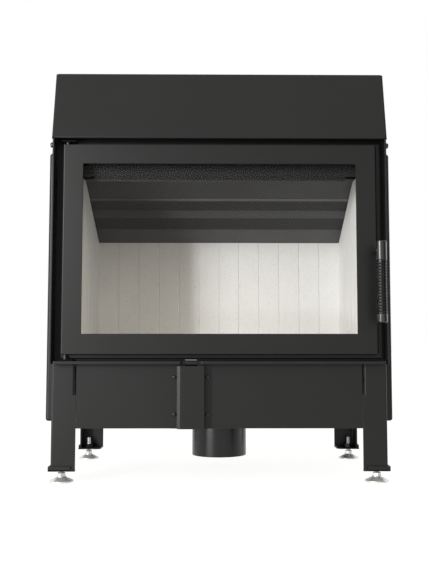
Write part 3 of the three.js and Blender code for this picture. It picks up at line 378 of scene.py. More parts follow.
# ---------------------------------------------------------------- finishes
class Nodes:
    """Short calls for building a node tree."""

    def __init__(self, tree):
        self.tree = tree

    def feed(self, socket, value):
        if isinstance(value, bpy.types.NodeSocket):
            self.tree.links.new(value, socket)
        else:
            socket.default_value = value

    def add(self, kind, settings=(), **inputs):
        made = self.tree.nodes.new(kind)
        for key, value in dict(settings).items():
            setattr(made, key, value)
        for key, value in inputs.items():
            self.feed(next(s for s in made.inputs if s.name == key.replace("_", " ") and s.enabled), value)
        return made

    def link(self, start, end):
        self.tree.links.new(start, end)

    def noise(self, where, scale, detail=2.0, roughness=0.5):
        made = self.add("ShaderNodeTexNoise", Vector=where, Scale=scale, Detail=detail, Roughness=roughness)
        return made.outputs[0]

    def ramp(self, value, low, high, to_low=0.0, to_high=1.0):
        made = self.add("ShaderNodeMapRange", Value=value, From_Min=low, From_Max=high, To_Min=to_low,
                        To_Max=to_high)
        return made.outputs[0]

    def mix(self, factor, first, second):
        made = self.add("ShaderNodeMix", settings={"data_type": "RGBA"})
        for place, value in ((0, factor), (6, first), (7, second)):
            self.feed(made.inputs[place], value)
        return made.outputs[2]

    def maths(self, operation, first, second):
        made = self.add("ShaderNodeMath", settings={"operation": operation})
        for socket, value in zip(made.inputs, (first, second)):
            self.feed(socket, value)
        return made.outputs[0]

    def place(self):
        """Each point's place on its object."""
        return self.add("ShaderNodeTexCoord").outputs["Object"]

    def seen(self):
        """1 where the camera, gloss or glass looks at the surface, and 0 for the light that it sheds."""
        ray = self.add("ShaderNodeLightPath")
        return self.maths("MAXIMUM", ray.outputs["Is Camera Ray"], self.maths(
            "MAXIMUM", ray.outputs["Is Glossy Ray"], ray.outputs["Is Transmission Ray"]))

    def dress(self, principled, colour, roughness, strength, distance, height):
        """Feeds a shader its colour, its roughness and a relief of a height."""
        relief = self.add("ShaderNodeBump", Strength=strength, Distance=distance, Height=height)
        for name, value in (("Base Color", colour), ("Roughness", roughness),
                            ("Normal", relief.outputs["Normal"])):
            self.link(value, principled.inputs[name])


def new_group(name, inputs, outputs):
    """A shader node group with float inputs (name: default) and outputs (name: kind)."""
    tree = bpy.data.node_groups.new(name, "ShaderNodeTree")
    for label, value in inputs.items():
        tree.interface.new_socket(label, in_out="INPUT", socket_type="NodeSocketFloat").default_value = value
    for label, kind in outputs.items():
        tree.interface.new_socket(label, in_out="OUTPUT", socket_type=kind)
    nodes = Nodes(tree)
    return nodes, nodes.add("NodeGroupInput"), nodes.add("NodeGroupOutput")


def make_grain_group():
    """Fine powder grain and broad mottling: two noises of different scale, added by their amounts."""
    nodes, source, result = new_group(
        "Powder grain", {"Grain scale": 900.0, "Mottle scale": 9.0, "Orange peel": 0.3},
        {"Height": "NodeSocketFloat", "Mottle": "NodeSocketFloat"})
    where = nodes.place()
    fine = nodes.noise(where, source.outputs["Grain scale"], 3.0, 0.6)
    peel = nodes.noise(where, 260.0, 1.0)
    height = nodes.maths("ADD", fine, nodes.maths("MULTIPLY", peel, source.outputs["Orange peel"]))
    mottle = nodes.noise(where, source.outputs["Mottle scale"], 4.0, 0.6)
    nodes.link(height, result.inputs["Height"])
    nodes.link(nodes.ramp(mottle, 0.3, 0.7), result.inputs["Mottle"])
    return nodes.tree


def shaded(colour, scale):
    return tuple(min(1.0, channel * scale) for channel in colour) + (1.0,)


def start_finish(name, **shader):
    material = bpy.data.materials.new(name)
    material.use_nodes = True
    nodes = Nodes(material.node_tree)
    principled = material.node_tree.nodes["Principled BSDF"]
    for key, value in shader.items():
        principled.inputs[key.replace("_", " ")].default_value = value
    return nodes, principled


GRAIN_RELIEF = 0.0002  # how deep the finest grain of paint and steel goes, in metres


def make_metal_finish(name, grain_tree, colour, gloss, bump, grain, tone=0.05, **shader):
    """A painted or plated steel finish: faintly mottled colour and gloss under a powder grain."""
    nodes, principled = start_finish(name, **shader)
    powder = nodes.add("ShaderNodeGroup", settings={"node_tree": grain_tree}, Grain_scale=grain)
    mottle = powder.outputs["Mottle"]
    nodes.dress(principled, nodes.mix(mottle, shaded(colour, 1 - tone), shaded(colour, 1 + tone)),
                nodes.ramp(mottle, 0.0, 1.0, gloss - 0.012, gloss + 0.012), bump, GRAIN_RELIEF,
                powder.outputs["Height"])


def make_face_lit_finish(name, colour, gloss, shade_tone):
    """Bare steel with painted light and shade: the mesh carries a share for each face, high where the face is
    painted as lit by the lamps and low where it is painted as shaded.
    """
    nodes, principled = start_finish(name, Specular_IOR_Level=0.0)
    where = nodes.place()
    lit_share = nodes.add("ShaderNodeAttribute", settings={"attribute_name": "lit_share"}).outputs["Fac"]
    patch = nodes.ramp(nodes.noise(where, 9.0, 4.0, 0.6), 0.3, 0.7)
    tone = nodes.mix(patch, shaded(colour, 0.88), shaded(colour, 1.12))
    # painted light and shade: each face is mixed from the full steel tone, where it is painted as lit, to a dark
    # share of it, where it is painted as shaded
    nodes.dress(principled, nodes.mix(lit_share, shaded(colour, shade_tone), tone),
                nodes.ramp(patch, 0.0, 1.0, gloss - 0.02, gloss + 0.02), 0.3, GRAIN_RELIEF,
                nodes.noise(where, 700.0, 3.0, 0.6))


def make_edge_lit_finish(name, colour, gloss, specular, lit_colour, start, full):
    """Paint or steel painted lighter along an edge as a painted highlight, from a height where it starts to one
    where it is full.
    """
    nodes, principled = start_finish(name, Specular_IOR_Level=specular)
    where = nodes.place()
    up = nodes.add("ShaderNodeSeparateXYZ", Vector=where).outputs[2]
    ragged_height = nodes.maths("ADD", up, nodes.ramp(nodes.noise(where, 300.0, 2.0), 0.0, 1.0, -0.0004, 0.0004))
    # painted highlight: heights from start to full fade towards the lighter colour, which is full beyond
    lit_band = nodes.ramp(ragged_height, start, full)
    nodes.dress(principled, nodes.mix(lit_band, shaded(colour, 1.0), shaded(lit_colour, 1.0)),
                nodes.ramp(lit_band, 0.0, 1.0, gloss, gloss - 0.04), 0.12, GRAIN_RELIEF,
                nodes.noise(where, 1100.0, 3.0, 0.6))


def make_board_finish(name, colour, fleck):
    """Pressed mineral board: small flecks in cells, a felted surface and faint smoke-grey patches."""
    nodes, principled = start_finish(name, Specular_IOR_Level=0.2)
    where = nodes.place()
    cells = nodes.add("ShaderNodeTexVoronoi", Vector=where, Scale=420.0)
    chance = nodes.add("ShaderNodeSeparateColor", Color=cells.outputs["Color"]).outputs[0]
    chosen = nodes.ramp(chance, 0.84, 0.9)
    speck = nodes.maths("MULTIPLY", chosen, nodes.ramp(cells.outputs["Distance"], 0.5, 0.3))
    felt = nodes.noise(where, 380.0, 4.0, 0.7)
    patch = nodes.ramp(nodes.noise(where, 7.0, 3.0), 0.3, 0.7)
    tone = nodes.mix(patch, shaded(colour, 0.97), shaded(colour, 1.03))
    tone = nodes.mix(nodes.maths("MULTIPLY", speck, 0.45), tone, shaded(fleck, 1.0))
    tone = nodes.mix(nodes.ramp(felt, 0.45, 0.7, 0.0, 0.10), tone, shaded(colour, 0.72))
    nodes.dress(principled, tone, nodes.ramp(felt, 0.3, 0.7, 0.88, 0.98), 0.4, 0.0005, felt)


def make_rope_finish(colour):
    """Knitted glass-fibre rope: fine crossing strands over the plaits that the mesh already has."""
    nodes, principled = start_finish("Door rope", Specular_IOR_Level=0.25, Sheen_Weight=0.2)
    where = nodes.add("ShaderNodeUVMap", settings={"uv_map": "rope"}).outputs["UV"]
    strands = nodes.add("ShaderNodeTexWave", settings={"bands_direction": "DIAGONAL"}, Vector=where, Scale=40.0,
                        Distortion=2.0, Detail=2.0).outputs["Fac"]
    nodes.dress(principled, nodes.mix(strands, shaded(colour, 0.6), shaded(colour, 1.5)),
                nodes.ramp(strands, 0.0, 1.0, 0.95, 0.8), 0.5, 0.0004, strands)


def make_glass_finish():
    """Ceramic glass: clear with a faint warm body; lamp light passes through it for the room behind."""
    nodes, principled = start_finish("Ceramic glass", Roughness=0.02, IOR=1.13, Transmission_Weight=1.0)
    where = nodes.place()
    film = nodes.noise(where, 6.0, 4.0, 0.6)
    nodes.link(nodes.mix(nodes.ramp(film, 0.3, 0.7), (0.975, 0.974, 0.97, 1.0), (0.99, 0.989, 0.986, 1.0)),
               principled.inputs["Base Color"])
    nodes.link(nodes.ramp(film, 0.3, 0.7, 0.015, 0.045), principled.inputs["Roughness"])
    clear = nodes.add("ShaderNodeBsdfTransparent", Color=(0.965, 0.964, 0.958, 1.0))
    ray = nodes.add("ShaderNodeLightPath")
    lamp = nodes.maths("MAXIMUM", ray.outputs["Is Shadow Ray"], ray.outputs["Is Diffuse Ray"])
    blend = nodes.add("ShaderNodeMixShader", Fac=lamp)
    nodes.link(principled.outputs[0], blend.inputs[1])
    nodes.link(clear.outputs[0], blend.inputs[2])
    nodes.link(blend.outputs[0], nodes.tree.nodes["Material Output"].inputs["Surface"])


class HEARTH_OT_finishes(Operator):
    """Makes the materials: stove paint, inner steel, zinc, handle steel, grip, board, rope and glass"""

    bl_idname = "hearth_insert.finishes"
    bl_label = "Finishes"

    def execute(self, context):
        look = context.scene.insert_finishes
        grain = make_grain_group()
        plain_steel = (0.13, 0.13, 0.134)
        for name, colour, gloss, bump, size, specular in (
                ("Stove paint", look.paint, look.paint_gloss, 0.12, 1100.0, 0.28),
                ("Pipe paint", (0.003, 0.003, 0.003), 0.28, 0.05, 1100.0, 0.42),
                ("Recess paint", look.paint, 0.5, 0.12, 1100.0, 0.2),
                # painted shade: a darker, duller black for plates that sit in shade
                ("Shade paint", (0.004, 0.004, 0.004), 0.55, 0.12, 1100.0, 0.05),
                ("Bolt black", (0.006, 0.006, 0.006), 0.26, 0.05, 900.0, 0.5),
                ("Pin steel", (0.02, 0.02, 0.02), 0.26, 0.05, 900.0, 0.5),
                ("Handle steel", look.handle, 0.3, 0.03, 1500.0, 0.7),
                ("Grip sleeve", look.grip, 0.36, 0.1, 1300.0, 0.33)):
            make_metal_finish(name, grain, colour, gloss, bump, size, Specular_IOR_Level=specular)
        make_metal_finish("Inner steel", grain, plain_steel, look.steel_gloss, 0.3, 700.0, 0.12,
                          Specular_IOR_Level=0.0)
        make_metal_finish("Zinc plate", grain, look.zinc, 0.42, 0.12, 500.0, Metallic=0.75)
        # painted shade: faces painted as unlit keep 0.29 of the baffle steel's colour
        make_face_lit_finish("Baffle steel", look.steel, look.steel_gloss, 0.29)
        # painted highlight: the top two millimetres of the lever's tab are painted lighter, standing for the
        # light caught along its edge
        lever_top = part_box("air_lever")[1].z
        make_edge_lit_finish("Lever paint", look.paint, look.paint_gloss, 0.33, (0.11, 0.11, 0.108),
                         lever_top - 0.0024, lever_top - 0.0019)
        # painted highlight: the deflector's lowest two to three millimetres, at its lip's end, are painted
        # lighter, standing for the light along its fold
        lip_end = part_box("airwash_deflector")[0].z + 0.0065
        make_edge_lit_finish("Deflector steel", (0.02, 0.0196, 0.0204), 0.6, 0.08, (0.045, 0.045, 0.044),
                         lip_end + 0.003, lip_end + 0.0022)
        make_board_finish("Lining board", look.board, look.fleck)
        make_board_finish("Floor board", look.floor_board, look.fleck)
        make_rope_finish(look.rope)
        make_glass_finish()
        return {"FINISHED"}


# ---------------------------------------------------------------- stage
PHOTO_SIZE = (428, 571)
FOCAL_PIXELS = 816.1
CAMERA_PLACE = (-0.00626, -1.86943, 0.27088)
CAMERA_PITCH, CAMERA_YAW, CAMERA_ROLL = np.radians((4.5721, -0.5907, 0.0125))
CAMERA_CENTRE = (224.985, 283.627)  # the lens axis in the photograph, in pixels
SENSOR = 36.0


def make_camera():
    forward = np.array([-np.sin(CAMERA_YAW) * np.cos(CAMERA_PITCH), np.cos(CAMERA_YAW) * np.cos(CAMERA_PITCH),
                        np.sin(CAMERA_PITCH)])
    right = np.array([np.cos(CAMERA_YAW), np.sin(CAMERA_YAW), 0.0])
    up = np.cross(right, forward)
    right, up = (right * np.cos(CAMERA_ROLL) + up * np.sin(CAMERA_ROLL),
                 up * np.cos(CAMERA_ROLL) - right * np.sin(CAMERA_ROLL))
    data = bpy.data.cameras.new("photo camera")
    data.sensor_fit = "AUTO"
    data.sensor_width = SENSOR
    data.lens = FOCAL_PIXELS * SENSOR / max(PHOTO_SIZE)
    data.shift_x = (PHOTO_SIZE[0] / 2 - CAMERA_CENTRE[0]) / max(PHOTO_SIZE)
    data.shift_y = (CAMERA_CENTRE[1] - PHOTO_SIZE[1] / 2) / max(PHOTO_SIZE)
    data.clip_start, data.clip_end = 0.01, 200.0
    camera = bpy.data.objects.new("photo camera", data)
    camera.matrix_world = Matrix.Translation(CAMERA_PLACE) @ Matrix(
        np.stack([right, up, -forward], 1).tolist()).to_4x4()
    bpy.context.scene.collection.objects.link(camera)
    bpy.context.scene.camera = camera


def make_lamp(name, place, target, size, power):
    data = bpy.data.lights.new(name, "AREA")
    data.shape = "RECTANGLE"
    data.size, data.size_y = size
    data.energy = power
    lamp = bpy.data.objects.new(name, data)
    lamp.location = place
    lamp.rotation_euler = (Vector(target) - Vector(place)).to_track_quat("-Z", "Y").to_euler()
    bpy.context.scene.collection.objects.link(lamp)


def stage_sheet(name, corners, material_name, **shader):
    """A flat sheet of the stage through four corners, with a plain material of its own."""
    mesh = bpy.data.meshes.new(name)
    mesh.from_pydata(corners, [], [(0, 1, 2, 3)])
    nodes, principled = start_finish(material_name, **shader)
    mesh.materials.append(bpy.data.materials[material_name])
    sheet = bpy.data.objects.new(name, mesh)
    bpy.context.scene.collection.objects.link(sheet)
    return sheet, nodes, principled


def make_floor(tone):
    """A wide pale floor: part of its white is its own, so that it runs into the white surroundings, and
    the rest is lit and keeps the object's shadow."""
    reach = 60.0
    _, nodes, plain = stage_sheet(
        "floor", [(-reach, -reach, 0), (reach, -reach, 0), (reach, reach, 0), (-reach, reach, 0)],
        "Studio floor", Base_Color=shaded((tone,) * 3, 1.0), Roughness=1.0, Specular_IOR_Level=0.0)
    glow = nodes.add("ShaderNodeEmission", Color=(1.0, 1.0, 1.0, 1.0),
                     Strength=nodes.ramp(nodes.seen(), 0.0, 1.0, 0.0, 0.93))
    both = nodes.add("ShaderNodeAddShader")
    nodes.link(plain.outputs[0], both.inputs[0])
    nodes.link(glow.outputs[0], both.inputs[1])
    nodes.link(both.outputs[0], nodes.tree.nodes["Material Output"].inputs["Surface"])


def make_flag(place, size, tone):
    """A dark studio flag that stands beside the object and is seen only in its gloss."""
    depth, height = size
    flag, _, _ = stage_sheet(
        "flag", [(0, -depth / 2, 0), (0, depth / 2, 0), (0, depth / 2, height), (0, -depth / 2, height)],
        "Flag cloth", Base_Color=shaded((tone,) * 3, 1.0))
    flag.location = place
    flag.visible_camera = flag.visible_diffuse = flag.visible_shadow = flag.visible_transmission = False


def make_world(level):
    """White where the camera, gloss or glass sees it, and a softer light on matt surfaces."""
    world = bpy.data.worlds.new("studio")
    world.use_nodes = True
    bpy.context.scene.world = world
    nodes = Nodes(world.node_tree)
    seen = nodes.seen()
    back = world.node_tree.nodes["Background"]
    nodes.link(nodes.mix(seen, (1.0, 0.94, 0.82, 1.0), (1.0, 1.0, 1.0, 1.0)), back.inputs["Color"])
    nodes.link(nodes.ramp(seen, 0.0, 1.0, level, 1.0), back.inputs["Strength"])


class HEARTH_OT_stage(Operator):
    """Sets the camera at the photograph's place, a pale floor, soft lamps and white surroundings"""

    bl_idname = "hearth_insert.stage"
    bl_label = "Stage"

    def execute(self, context):
        studio = context.scene.insert_studio
        make_camera()
        make_floor(studio.floor)
        make_world(studio.surround)
        middle = (-0.1, 0.05, 0.46)
        make_lamp("lamp left", (-1.311, -1.9, 0.92), middle, (0.115, 0.74), studio.key_power * 0.55)
        make_lamp("lamp far left", (-1.466, -1.797, 0.92), middle, (0.26, 0.74), studio.key_power * 0.45)
        make_lamp("low lamp left", (-1.36, -1.5, 0.07), (0.0, 0.1, 0.1), (0.95, 0.12), studio.low_power)
        make_lamp("rim lamp right", (1.9, 0.45, 0.6), (0.3, -0.2, 0.45), (0.25, 1.2), studio.rim_power)
        make_flag((1.6, -1.2, 0.0), (2.2, 2.4), 0.12)
        context.scene.view_settings.view_transform = "Standard"
        return {"FINISHED"}


# ---------------------------------------------------------------- plates that stay
class HEARTH_OT_plates(Operator):
    """Finishes the frame's own plates: firebox, cheeks, front frame, brackets, retainers, latch and linings"""

    bl_idname = "hearth_insert.plates"
    bl_label = "Plates and linings"

    def execute(self, context):
        edge = context.scene.insert_sizes.plate_edge
        sides = [side for side, _ in SIDES]
        finishes = {
            "Stove paint": ["firebox_back", "firebox_roof", "air_plenum", "latch_keeper",
                            *(f"{plate}_{side}" for plate in ("firebox_side", "cheek") for side in sides)],
            "Recess paint": ["front_frame"],
            # painted shade: the floor plate and hinge brackets get the darker black because they sit in shade
            "Shade paint": ["floor_plate", "hinge_bracket_bottom", "hinge_bracket_top"],
            "Inner steel": ["log_stop", "glass_retainer_top", "glass_retainer_bottom", "latch_cam"],
            "Lining board": [f"lining_{wall}_{side}" for wall in ("back", "side") for side in sides],
            "Floor board": ["lining_floor"],
        }
        for finish, nodes in finishes.items():
            for node in nodes:
                keep(node, finish, edge)
        return {"FINISHED"}


class HEARTH_OT_baffle(Operator):
    """Folds the stepped baffle and the deflector above the window: profiles with a small arc at every fold,
    carried across the firebox"""

    bl_idname = "hearth_insert.baffle"
    bl_label = "Baffle"

    def execute(self, context):
        x0, x1, y0, y1, z0, z1 = limits("baffle")
        thick, front_rise = 3.0, 30.0
        folds = np.array([[-30.7, 29.2], [-63.0, 18.9], [-11.3, 16.0], [-47.2, 14.2], [-1.0, 7.0]])
        line = np.vstack([[0.0, 0.0], np.cumsum(folds, axis=0)])
        line += [y1 - thick * folds[0, 1] / np.hypot(*folds[0]), z0]
        line = np.vstack([line, [y0, line[-1, 1] + front_rise]])
        shell = Shell().bent(filleted(line, 3.4), thick, 0, x0, x1)
        piece = put("folded_baffle", shell, "Baffle steel", "baffle")
        facing = np.empty(len(piece.data.polygons) * 3)
        piece.data.polygons.foreach_get("normal", facing)
        # painted light and shade: upright faces towards the lamps are painted lightest, steep folds partly lit,
        # faces turned down darkest
        lit_share = np.interp(-facing[2::3], (0.3, 0.5, 0.91, 0.95), (1.0, 0.22, 0.34, 0.0))
        layer = piece.data.attributes.new("lit_share", "FLOAT", "FACE")
        layer.data.foreach_set("value", lit_share)

        x0, x1, y0, y1, z0, z1 = limits("airwash_deflector")
        thick, lean, drop, short = 2.0, 5.0, 10.0, 31.0
        plate, lip, shelf = y1 - lean - thick, z0 + 16.5, z1 - 22.0
        line = filleted([[y0, z1], [y0, shelf - thick], [plate, shelf - thick], [plate, lip]], 0.8)
        shell = Shell().bent(line, -thick, 0, x0, x1)
        line = filleted([[plate, lip + 1.0], [plate, lip], [plate + lean, lip - drop]], 0.8)
        shell.bent(line, -thick, 0, x0 + short, x1 - short)
        put("folded_deflector", shell, "Deflector steel", "airwash_deflector", edge=0.0003)
        return {"FINISHED"}


# ---------------------------------------------------------------- hood
def hood_walls(front, rise, back, half, corner):
    """The hood's outline at each height (left return, corner, front, corner, right return) for rows of
    front depths, with each column's rows spread evenly between its own lowest and highest place."""
    arc = filleted([[-half, back], [-half, 0.0], [half, 0.0], [half, back]], corner)
    across, depth = arc.T
    on_return = np.clip(depth / corner, 0, 1)
    low, high, share_of = rise
    height = (low[0] + (low[1] - low[0]) * on_return)[None] * (1 - share_of[:, None])
    height = height + (high[0] + (high[1] - high[0]) * on_return)[None] * share_of[:, None]
    line = front(height) + np.minimum(depth, corner)[None]
    line = np.where(depth[None] > corner, back, line)
    return np.stack([np.broadcast_to(across, height.shape), line, height], -1)


class HEARTH_OT_hood(Operator):
    """Folds the hood: a leaning front, side returns, a lip bent back below and a flange above"""

    bl_idname = "hearth_insert.hood"
    bl_label = "Hood"

    def execute(self, context):
        sizes = context.scene.insert_sizes
        thick, bend, corner = sizes.sheet * MM, sizes.hood_bend * MM, sizes.hood_corner * MM
        x0, x1, y0, y1, z0, z1 = limits("hood")
        cheek_back = limits("cheek_left")[3]
        lean = 37.0
        slope = lean / (z1 - z0)
        lip = filleted([[lean, z1], [0, z0], [9, z0]], bend)
        flange = filleted([[0, z0], [lean, z1], [y1, z1]], bend)
        low, high = lip[1, 1], flange[1, 1]
        rows = np.linspace(0, 1, 3)
        outer = hood_walls(lambda z: y0 + slope * (z - z0), ((low, z0), (high, z1), rows), cheek_back, x1, corner)
        inner = hood_walls(lambda z: y0 + slope * (z - z0) + thick * np.hypot(1, slope),
                           ((low, z0), (high, z1), rows), cheek_back, x1 - thick, corner - thick)
        shell = Shell().thick(outer, inner)
        reach = x1 - corner
        shell.bent(lip[1:], -thick, 0, -reach, reach)
        shell.bent(flange[1:], thick, 0, -reach, reach)
        put("folded_hood", shell, "Stove paint", "hood")
        return {"FINISHED"}


# ---------------------------------------------------------------- shields
DIMPLE = ((11.0, 0.0), (10.0, 0.0), (9.4, 0.35), (7.2, 2.2), (6.6, 2.5))  # radius and depth of each ring


def pan(shell, axis, sign, face, depth, rim, bend, corner, thick, dimples, spacer_end):
    """A pan: the rim's outline drawn in over a quarter-round bend to a flat face, and the same again one
    thickness inside. At each dimple the face sinks in a cone to a screw on a spacer."""
    u0, u1, v0, v1 = rim
    turn = np.linspace(0, np.pi / 2, 7)

    def wall(inset, radius):
        sinks = np.concatenate([[depth], inset + radius - radius * np.sin(turn), [inset]])
        insets = np.concatenate([[inset], inset + radius - radius * np.cos(turn), [inset + radius + 1.5]])
        return [embed(rounded_loop(u0 + i, u1 - i, v0 + i, v1 - i, max(corner - i, 1.2)), axis,
                      face - sign * d) for i, d in zip(insets, sinks)]

    outer, inner = wall(0.0, bend), wall(thick, bend - thick)
    shell.grid(np.stack(inner[::-1] + outer), close_columns=True, cap_rows=(0,))
    angle = np.linspace(0, 2 * np.pi, 24, endpoint=False)
    circle = np.stack([np.cos(angle), np.sin(angle)], 1)
    flat_axes = [other for other in range(3) if other != axis]
    holes = [np.array(place) + circle * DIMPLE[0][0] for place in dimples]
    shell.flat(outer[-1][:, flat_axes], holes, axis, face)
    for place in dimples:
        rows = [embed(np.array(place) + circle * radius, axis, face - sign * sink)
                for radius, sink in DIMPLE]
        shell.grid(np.stack(rows), close_columns=True, cap_rows=(-1,))
        centre = embed(np.array(place, float), axis, face - sign * DIMPLE[-1][1])
        shell.button(centre, axis, sign, 5.2, 0.7, 2.4, 3.4, 1.7)
        base = centre.copy()
        base[axis] = spacer_end
        span = abs(face - sign * thick - spacer_end)
        shell.turned(filleted([[0, 0], [8, 0], [8, span], [0, span]], 0.6, 2), base, axis, sign, 28)


class HEARTH_OT_shields(Operator):
    """Draws the side and rear heat shields as pans with dimpled screws on spacers"""

    bl_idname = "hearth_insert.shields"
    bl_label = "Heat shields"

    def execute(self, context):
        sizes = context.scene.insert_sizes
        bend, thick = sizes.shield_bend * MM, sizes.sheet * MM
        for side, sign in SIDES:
            node = f"side_shield_{side}"
            x0, x1, y0, y1, z0, z1 = limits(node)
            face, foot = (x1, x0) if sign > 0 else (x0, x1)
            places = [(y, z) for y in (y0 + 45, y1 - 45) for z in (limits("ledge")[5] + 60, z1 - 60)]
            shell = Shell()
            pan(shell, 0, sign, face, 20.0, (y0, y1, z0, z1), bend, 5.0, thick, places, foot)
            put(f"shield_pan_{side}", shell, "Stove paint", node)
        x0, x1, y0, y1, z0, z1 = limits("rear_shield")
        places = [(x, z) for x in (x0 + 60, x1 - 60) for z in (z0 + 60, z1 - 60)]
        shell = Shell()
        pan(shell, 1, 1, y1, 14.0, (x0, x1, z0, z1), bend, 5.0, thick, places, y0)
        put("shield_pan_rear", shell, "Stove paint", "rear_shield")
        return {"FINISHED"}


# ---------------------------------------------------------------- legs and feet
class HEARTH_OT_legs(Operator):
    """Rolls the four angle legs: an L outline with a round outer corner and soft toes, carried upwards; at
    the top of a front leg the front flange's edge is slit and stepped back behind the apron"""

    bl_idname = "hearth_insert.legs"
    bl_label = "Legs"

    def execute(self, context):
        sizes = context.scene.insert_sizes
        corner = sizes.leg_corner * MM
        slit, gap, depth, clear = 63.0, 3.4, 15.0, 0.02  # the stepped edge's height, width, depth and seam
        for end, inward in ENDS:
            for side, sign in SIDES:
                node = f"leg_{end}_{side}"
                x0, x1, y0, y1, z0, z1 = limits(node)
                width, thick = x1 - x0, 3.0
                outline = filleted(
                    [[0, 0], [width, 0], [width, thick], [thick, thick], [thick, width], [0, width]],
                    [corner, 0.5, 1.4, 1.6, 1.4, 0.5], closed=True)
                origin = np.array([x1 if sign > 0 else x0, y0 if inward > 0 else y1])
                turn = np.array([-sign, inward])
                slot = z1 - slit if end == "front" else z1
                shell = Shell().extruded(origin + turn * outline, 2, z0, slot)
                if slot < z1:
                    reach = width - gap
                    outline = filleted(
                        [[0, 0], [reach, 0], [reach, depth], [width, depth], [width, depth + thick],
                         [reach - thick, depth + thick], [reach - thick, thick], [thick, thick], [thick, width],
                         [0, width]], [corner, 4.6, 0.8, 0.4, 0.4, 3.0, 1.6, 1.6, 1.4, 0.5], closed=True)
                    shell.extruded(origin + turn * outline, 2, slot + clear, z1)
                put(f"angle_{node}", shell, "Stove paint", node,
                    edge=0.0 if end == "front" else sizes.plate_edge)
        return {"FINISHED"}


def threaded(shell, centre, radius, low, high, pitch, depth):
    """A threaded stud: the radius falls and rises once per pitch along a screw line round the axis."""
    angle = np.linspace(0, 2 * np.pi, 20, endpoint=False)
    height = np.arange(low, high, pitch / 5)
    wave = (height[:, None] / pitch - angle / (2 * np.pi)) % 1
    reach = radius - depth * np.clip(1.3 - np.abs(wave - 0.5) * 3.2, 0, 1)
    fade = np.clip((high - height) / 1.2, 0, 1)[:, None]
    reach = reach * (0.86 + 0.14 * fade)
    points = np.stack([reach * np.cos(angle), reach * np.sin(angle),
                       np.repeat(height[:, None], len(angle), 1)], -1)
    shell.grid(points + np.asarray(centre), close_columns=True, cap_rows=(0, -1))


class HEARTH_OT_feet(Operator):
    """Turns the four levelling feet (a coned disc, a chamfered hexagon and a threaded stud) and cuts the tray
    with its lip and weld nut that takes each"""

    bl_idname = "hearth_insert.feet"
    bl_label = "Levelling feet"

    def tray(self, end, side, stud):
        node = f"foot_tray_{end}_{side}"
        x0, x1, y0, y1, z0, z1 = limits(node)
        sign, inward = dict(SIDES)[side], dict(ENDS)[end]
        corner = np.array([x1 if sign > 0 else x0, y0 if inward > 0 else y1])
        turn = np.array([-sign, inward])
        wide, deep, thick, lip = x1 - x0, y1 - y0, 3.0, 46.0
        cut = [[wide, 10], [30, deep]] if end == "front" else [[wide, deep - 8], [wide - 8, deep]]
        plate = filleted([[0, 0], [wide, 0], *cut, [0, deep]], [2.6, 1.0, 1.5, 2.0, 1.0], closed=True)
        shell = Shell().extruded(corner + turn * plate, 2, z0, z0 + thick)
        rim = filleted([[0, 0], [lip, 0], [lip, thick], [thick, thick], [thick, lip + 4.5], [0, lip + 4.5]],
                       [2.6, 0.5, 0.5, 0.6, 0.5, 0.5], closed=True)
        shell.extruded(corner + turn * rim, 2, z0 + 0.2, z0 + 10)
        shell.turned([[5.2, z0 + 2.5], [8.5, z0 + 2.5], [8.5, z1 - 0.6], [7.9, z1], [5.2, z1]],
                     (stud[0], stud[1], 0.0), around=48, sides=6, close_rows=True)
        put(f"plate_{node}", shell, "Stove paint", node, edge=0.0004)

    def execute(self, context):
        sizes = context.scene.insert_sizes
        for end, _ in ENDS:
            for side, _ in SIDES:
                node = f"levelling_foot_{end}_{side}"
                z0, z1 = limits(node)[4:]
                centre, radius = upright(node)
                centre[2] = z0
                profile = filleted([[0, 0], [radius, 0], [radius, 2.8], [9.4, 10.2], [9.4, 11.4], [0, 11.4]],
                                   [0.6, 1.1, 2.5, 0.4], 4)
                shell = Shell().turned(profile, centre, around=48)
                shell.turned([[0, 11], [6.9, 11], [7.5, 11.6], [7.5, 18.3], [6.9, 19], [0, 19]], centre,
                             around=48, sides=6)
                threaded(shell, centre, 5.0, 18.5, z1 - z0, sizes.thread_pitch * MM, sizes.thread_depth * MM)
                put(f"foot_{end}_{side}", shell, "Zinc plate", node, smooth=32)
                self.tray(end, side, centre)
        return {"FINISHED"}


